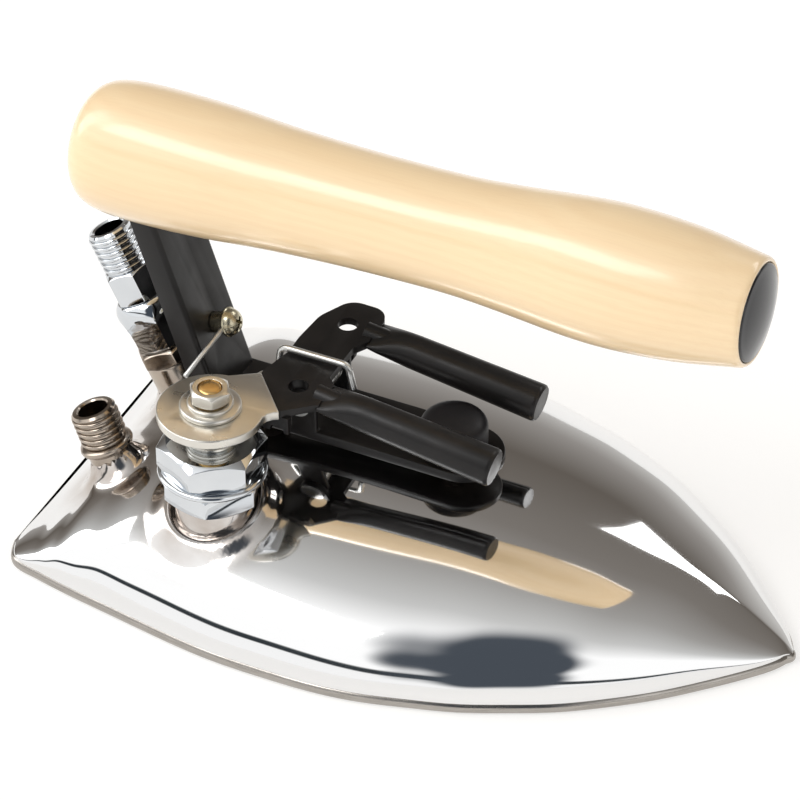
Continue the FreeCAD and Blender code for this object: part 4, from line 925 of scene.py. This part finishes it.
# the rolled sheet's seam is a narrow groove along the underside
SEAM_AT, SEAM_DEPTH = 0.77, 0.93
LEG_ROUTE = ((-36.8, -3, 49.2), (-42.4, -3, 49.2), (-41.4, -3, 58.0), (-21.4, -3, 58.2), (-19.7, -3, 50.6))


class IRON_OT_lever(bpy.types.Operator):
    """Build the squeeze lever with its two grips and the return spring"""
    bl_idname = "iron.lever"
    bl_label = "Squeeze lever"

    def execute(self, context):
        softened_copy("lever_plate", ENAMEL, LEVER, context.scene.iron_lever.edge_round / MM)
        ahead = Vector((math.cos(GRIP_DROP), 0, -math.sin(GRIP_DROP)))
        above = Vector((math.sin(GRIP_DROP), 0, math.cos(GRIP_DROP)))
        steps = 56
        for name, side in (("near_grip", -1), ("far_grip", 1)):
            root = Vector((-22.4, side * 15.0, 55.4))
            points = []
            for along, half_width, half_height, lift in GRIP_RINGS:
                for j in range(steps):
                    angle = round_about(j, steps)
                    seam = SEAM_DEPTH if j == round(steps * SEAM_AT) else 1.0
                    points.append(root + ahead * along + above * (lift + half_height * seam * math.sin(angle))
                                  + Vector((0, half_width * seam * math.cos(angle), 0)))
            faces = bar_faces(len(GRIP_RINGS), steps)
            add_mesh(name + "_rolled", points, faces, ENAMEL, LEVER, (name,), 42.0)
        turn = Matrix.Translation((-31.0, 4.2, 49.6)) @ Matrix.Rotation(math.radians(90), 4, "X")
        wound_piece("return_spring_coil", WIRE, LEVER, turn, 3.4, 5.4, 3.0, 0.8, ("spring_coil",))
        wire_piece("return_spring_leg", LEG_ROUTE, (1.6, 2.4, 2.0), 0.95, LEVER, ("spring_leg",))
        return {"FINISHED"}


def wire_piece(name, route, bends, radius, body, replaces):
    """Round wire bent over straight runs, with rounded ends."""
    corners = [Vector(p) for p in route]
    line = [corners[0]]
    for before, corner, after, bend in zip(corners, corners[1:], corners[2:], bends):
        back, ahead = (before - corner).normalized(), (after - corner).normalized()
        half = back.angle(ahead) / 2
        reach = bend / math.tan(half)
        centre = corner + (back + ahead).normalized() * (bend / math.sin(half))
        first, last = [(corner + way * reach - centre).normalized() for way in (back, ahead)]
        line += [centre + first.slerp(last, k / 8) * bend for k in range(9)]
    line.append(corners[-1])
    start, stop = (line[1] - line[0]).normalized(), (line[-1] - line[-2]).normalized()
    # the ends are rounded over 0.4 of the radius: how far in, and the share of the radius there
    ends = ((0.0, 0.55), (0.2, 0.9), (0.4, 1.0))
    stations = [(line[0] + start * radius * inset, radius * share) for inset, share in ends]
    stations += [(point, radius) for point in line[1:-1]]
    stations += [(line[-1] - stop * radius * inset, radius * share) for inset, share in reversed(ends)]
    up = start.orthogonal().normalized()
    steps, points = 16, []
    for i, (point, size) in enumerate(stations):
        if i < len(ends):
            tangent = start
        elif i >= len(stations) - len(ends):
            tangent = stop
        else:
            tangent = (stations[i + 1][0] - stations[i - 1][0]).normalized()
        up = (up - tangent * up.dot(tangent)).normalized()
        side = tangent.cross(up)
        for j in range(steps):
            angle = round_about(j, steps)
            points.append(point + (up * math.cos(angle) + side * math.sin(angle)) * size)
    return add_mesh(name, points, bar_faces(len(stations), steps), WIRE, body, replaces, 45.0)


# Bracket, foot bar, knob and screw
def on_bracket(height, outwards):
    """A point in front of the bracket's web."""
    rise = Vector((-math.sin(BRACKET_LEAN), 0, math.cos(BRACKET_LEAN)))
    front = Vector((math.cos(BRACKET_LEAN), 0, math.sin(BRACKET_LEAN)))
    return BRACKET_FOOT + rise * height + front * outwards

KNOB = (
    (2.5, 39.0), (8.5, 39.0), (9.0, 39.3), (9.2, 40.0), (9.2, 45.6), (9.1, 46.5), (8.75, 47.3), (8.1, 48.0),
    (7.0, 48.55), (5.4, 48.95), (3.4, 49.25), (1.5, 49.43), (0.0, 49.5))
SPACER = ((1.9, 0.0), (2.7, 0.0), (2.9, 0.2), (2.9, 3.4), (2.7, 3.6), (1.9, 3.6))
SCREW = (
    (0.0, -5.6), (1.7, -5.6), (1.9, -5.3), (1.9, 4.2), (4.0, 4.2), (4.1, 4.4), (4.1, 4.85), (3.9, 5.0),
    (3.75, 5.2), (3.6, 5.9), (3.2, 6.7), (2.5, 7.4), (1.5, 7.85), (0.0, 8.0))
# The cross recess: where its cutter's middle is, the cutter's height, and each arm's size below and above.
RECESS_AT, RECESS_HEIGHT, ARM_BELOW, ARM_ABOVE = 8.2, 4.2, (2.2, 0.7), (4.2, 1.0)
WIRE_END = Vector((-62.0, -19.4, 52.2))


def cross_recess(screw, axis):
    """Cuts the cross that a screwdriver turns into the screw's head."""
    cross = bmesh.new()
    for spin in (45, -45):
        move = axis @ upright(0, 0, RECESS_AT, spin)
        for vertex in bmesh.ops.create_cube(cross, size=1.0)["verts"]:
            length, width = ARM_BELOW if vertex.co.z < 0 else ARM_ABOVE
            size = Vector((vertex.co.x * length, vertex.co.y * width, vertex.co.z * RECESS_HEIGHT))
            vertex.co = (move @ size) * MM
    mesh = bpy.data.meshes.new("cross_cutter")
    cross.to_mesh(mesh)
    cross.free()
    cutter = new_piece("cross_cutter", mesh)
    modifier = screw.modifiers.new("Recess", "BOOLEAN")
    modifier.operation, modifier.object, modifier.solver = "DIFFERENCE", cutter, "EXACT"
    modifier.use_self = True
    bake_modifiers(screw)
    screw.data.set_sharp_from_angle(angle=math.radians(35))
    bpy.data.objects.remove(cutter)


class IRON_OT_mounting(bpy.types.Operator):
    """Build the bracket, foot bar, knob and the screw that holds the wire"""
    bl_idname = "iron.mounting"
    bl_label = "Bracket and foot bar"

    def execute(self, context):
        edge = context.scene.iron_lever.edge_round / MM
        softened_copy("bracket", ENAMEL, ROOT, edge)
        softened_copy("foot_bar", ENAMEL, ROOT, edge * 1.4)
        turned_piece(
            "foot_knob_moulded", "foot_knob", MATT_BLACK, ROOT, upright(KNOB_X, 0), 80, 45.0, KNOB)
        hexagon_piece(
            "rear_stud_nut_plated", "rear_stud_nut", ZINC, ROOT, upright(REAR_STUD_X, 0), 8.0, 39.0, 43.0,
            2.5, (0.4, 0.8), 72)
        # the screw's axis leans with the bracket, so its pieces are turned about that axis
        axis = Matrix.Translation(on_bracket(SCREW_HEIGHT, 0)) @ Matrix.Rotation(
            math.pi / 2 - BRACKET_LEAN, 4, "Y")
        turned_piece("screw_spacer_plated", "screw_spacer", YELLOW_ZINC, ROOT, axis, 48, 35.0, SPACER)
        screw = turned_piece(
            "bracket_screw_plated", "bracket_screw", YELLOW_ZINC, ROOT, axis, 64, 40.0, SCREW)
        cross_recess(screw, axis)
        wire_start = on_bracket(SCREW_HEIGHT, 4.3) + Vector((0.0, -3.1, 0.0))
        route = (wire_start, (wire_start + WIRE_END) / 2, WIRE_END)
        wire_piece("hold_wire_bent", route, (), 0.7, ROOT, ("hold_wire",))
        return {"FINISHED"}


# Pieces that keep their fixed-frame shape
KEPT = {
    PLAIN_STEEL: (
        "chamber_rim", "partition_plate", "feed_tube", "valve_cage", "siphon_tube", "handle_rod",
        "rod_washer", "rod_nut", "foot_spacers"),
    BRASS: ("valve_seat",),
    PTFE: ("gland_packing", "valve_disc"),
    ZINC: ("pivot_pin", "foot_studs", "screw_nut"),
    WIRE: ("pin_clips",),
}


class IRON_OT_inner(bpy.types.Operator):
    """Give the pieces that keep their fixed-frame shape their real finish"""
    bl_idname = "iron.inner"
    bl_label = "Inner pieces"

    def execute(self, context):
        for material, names in KEPT.items():
            for name in names:
                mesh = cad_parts[name].data
                mesh.materials.clear()
                mesh.materials.append(MATERIALS[material])
        return {"FINISHED"}


class IRON_OT_finishes(bpy.types.Operator):
    """Make every material"""
    bl_idname = "iron.finishes"
    bl_label = "Finishes"

    def execute(self, context):
        polished_steel()
        plain_metals()
        enamel_and_mouldings()
        lacquered_maple()
        return {"FINISHED"}


# Stage
TENT = [
    # place in the arc from the near horizon over the top to the far one, and colour there
    (0.0, "#F4F4F4"), (0.085, "#F4F4F4"), (0.093, "#2B3034"), (0.125, "#383D40"), (0.135, "#FFFFFF"),
    (0.36, "#FFFFFF"), (0.45, "#C4C4C3"), (0.55, "#9B9996"), (0.66, "#77726D"), (0.82, "#5F5953"),
    (0.92, "#8F8B87"), (1.0, "#BDBBB8"),
]
# The tent's dark opening: overlapping soft discs, each with its direction, inner and outer reach.
OPENING = (
    ((0.33, -0.69, 0.62), 0.26, 0.38), ((0.24, -0.50, 0.80), 0.16, 0.36), ((0.40, -0.86, 0.30), 0.20, 0.34))
SEAM_CLIMB = 0.075
WORLD_STRENGTH = 1.25


def soft_world(strength):
    """A light tent: white by the near side, grey overhead, dark behind, with a soft dark opening.

    A thin dark seam near the floor climbs towards the heel side.
    """
    world = bpy.data.worlds.new("Light_tent")
    bpy.context.scene.world = world
    world.use_nodes = True
    tree = world.node_tree
    tree.nodes.clear()
    way = add_node(tree, "ShaderNodeTexCoord").outputs["Generated"]
    split = add_node(tree, "ShaderNodeSeparateXYZ", links={0: way}).outputs
    near = add_node(tree, "ShaderNodeMath", {1: -1.0}, {0: split["Y"]}, operation="MULTIPLY").outputs[0]
    turn = add_node(tree, "ShaderNodeMath", links={0: split["Z"], 1: near}, operation="ARCTAN2").outputs[0]
    share = add_node(
        tree, "ShaderNodeMapRange", {"From Min": 0.0, "From Max": math.pi, "To Min": 0.0, "To Max": 1.0},
        {"Value": turn}).outputs["Result"]
    slope = add_node(
        tree, "ShaderNodeMath", {1: SEAM_CLIMB}, {0: split["X"], 2: share}, operation="MULTIPLY_ADD")
    tent = ramp_of(add_node(tree, "ShaderNodeValToRGB", links={"Fac": slope.outputs[0]}), TENT)
    opening = None
    for aim, inner, outer in OPENING:
        part = nearness(tree, way, Vector(aim).normalized(), inner, outer)
        opening = part if opening is None else add_node(
            tree, "ShaderNodeMath", links={0: opening, 1: part}, operation="MULTIPLY").outputs[0]
    seen = add_node(
        tree, "ShaderNodeMix", {6: linear("#464C54")}, {"Factor": opening, 7: tent.outputs[0]},
        data_type="RGBA").outputs[2]
    sight = add_node(tree, "ShaderNodeLightPath").outputs["Is Camera Ray"]
    shown = add_node(
        tree, "ShaderNodeMix", {7: linear("#FAFAFA")}, {"Factor": sight, 6: seen},
        data_type="RGBA").outputs[2]
    light = add_node(tree, "ShaderNodeBackground", {"Strength": strength}, {"Color": shown})
    add_node(tree, "ShaderNodeOutputWorld", links={"Surface": light.outputs[0]})


def soft_lamp(name, place, aim, width, height, power):
    """A large rectangular soft lamp aimed at a point, in metres."""
    data = bpy.data.lights.new(name, "AREA")
    data.shape, data.size, data.size_y, data.energy = "RECTANGLE", width, height, power
    lamp = bpy.data.objects.new(name, data)
    lamp.location = place
    lamp.rotation_euler = (Vector(aim) - Vector(place)).to_track_quat("-Z", "Y").to_euler()
    lamp.visible_camera = False
    bpy.context.scene.collection.objects.link(lamp)


# Lamps, in metres and watts: name, place, aim, width, height, power.
LAMPS = (
    ("strip_softbox", (-0.62, -0.82, 1.49), (-0.1, 0, 0.1), 1.0, 0.5, 7.5),
    ("side_softbox", (-1.3, -0.2, 0.9), (0, 0, 0.05), 0.5, 1.2, 5),
    ("back_softbox", (0.5, 1.3, 1.3), (0, 0, 0.05), 1.0, 0.5, 5),
)
CAMERA_PLACE, CAMERA_AIM = (0.35820, -0.76675, 0.72477), Vector((-0.01241, 0.01025, 0.040))
CAMERA_LENS, CAMERA_SENSOR = 183.15, 36.0
FLOOR_REACH, FLOOR_HEIGHT = 6.0, -2e-5
FLOOR_CORNERS = ((-1, -1), (1, -1), (1, 1), (-1, 1))


class IRON_OT_stage(bpy.types.Operator):
    """Set up the floor, the light and the camera"""
    bl_idname = "iron.stage"
    bl_label = "Stage"

    def execute(self, context):
        settings = context.scene.iron_stage
        # matt paper that glows a little, so it stays pale right up to the iron
        new_material(
            "Pale_paper_floor", Roughness=0.9, Specular_IOR_Level=0.0, Emission_Strength=0.68,
            Base_Color=linear("#B9B8B7"), Emission_Color=linear(settings.floor))
        mesh = bpy.data.meshes.new("floor")
        corners = [(x * FLOOR_REACH, y * FLOOR_REACH, FLOOR_HEIGHT) for x, y in FLOOR_CORNERS]
        mesh.from_pydata(corners, [], [(0, 1, 2, 3)])
        mesh.materials.append(MATERIALS["Pale_paper_floor"])
        new_piece("floor", mesh)
        soft_world(settings.light * WORLD_STRENGTH)
        for name, place, aim, width, height, power in LAMPS:
            soft_lamp(name, place, aim, width, height, power * settings.light)
        data = bpy.data.cameras.new("camera")
        data.lens, data.sensor_width = CAMERA_LENS, CAMERA_SENSOR
        camera = new_piece("camera", data)
        camera.location = CAMERA_PLACE
        camera.rotation_euler = (CAMERA_AIM - camera.location).to_track_quat("-Z", "Y").to_euler()
        context.scene.camera = camera
        context.scene.view_settings.view_transform = "Standard"
        return {"FINISHED"}


class IRON_PT_panel(bpy.types.Panel):
    """Sidebar panel with the iron's pieces"""
    bl_label = "Steam clothes iron"
    bl_idname = "IRON_PT_panel"
    bl_space_type = "VIEW_3D"
    bl_region_type = "UI"
    bl_category = "Iron"

    def draw(self, context):
        for key in SETTINGS:
            box = self.layout.box()
            for name in SETTINGS[key].__annotations__:
                box.prop(getattr(context.scene, key), name)
        for operator in OPERATORS:
            self.layout.operator(operator.bl_idname)


OPERATORS = (IRON_OT_finishes, IRON_OT_shell, IRON_OT_sole, IRON_OT_handle, IRON_OT_valve, IRON_OT_fittings,
             IRON_OT_lever, IRON_OT_mounting, IRON_OT_inner, IRON_OT_stage)


def register():
    """Registers the classes and puts each group of settings on the scene."""
    for cls in (*SETTINGS.values(), *OPERATORS, IRON_PT_panel):
        bpy.utils.register_class(cls)
    for key, group in SETTINGS.items():
        setattr(bpy.types.Scene, key, bpy.props.PointerProperty(type=group))


def unregister():
    """Takes the settings and classes away again."""
    for key in SETTINGS:
        delattr(bpy.types.Scene, key)
    for cls in reversed((*SETTINGS.values(), *OPERATORS, IRON_PT_panel)):
        bpy.utils.unregister_class(cls)


def main():
    """Builds every piece in order."""
    register()
    for operator in OPERATORS:
        group, name = operator.bl_idname.split(".")
        getattr(getattr(bpy.ops, group), name)()


if __name__ == "__main__":
    main()
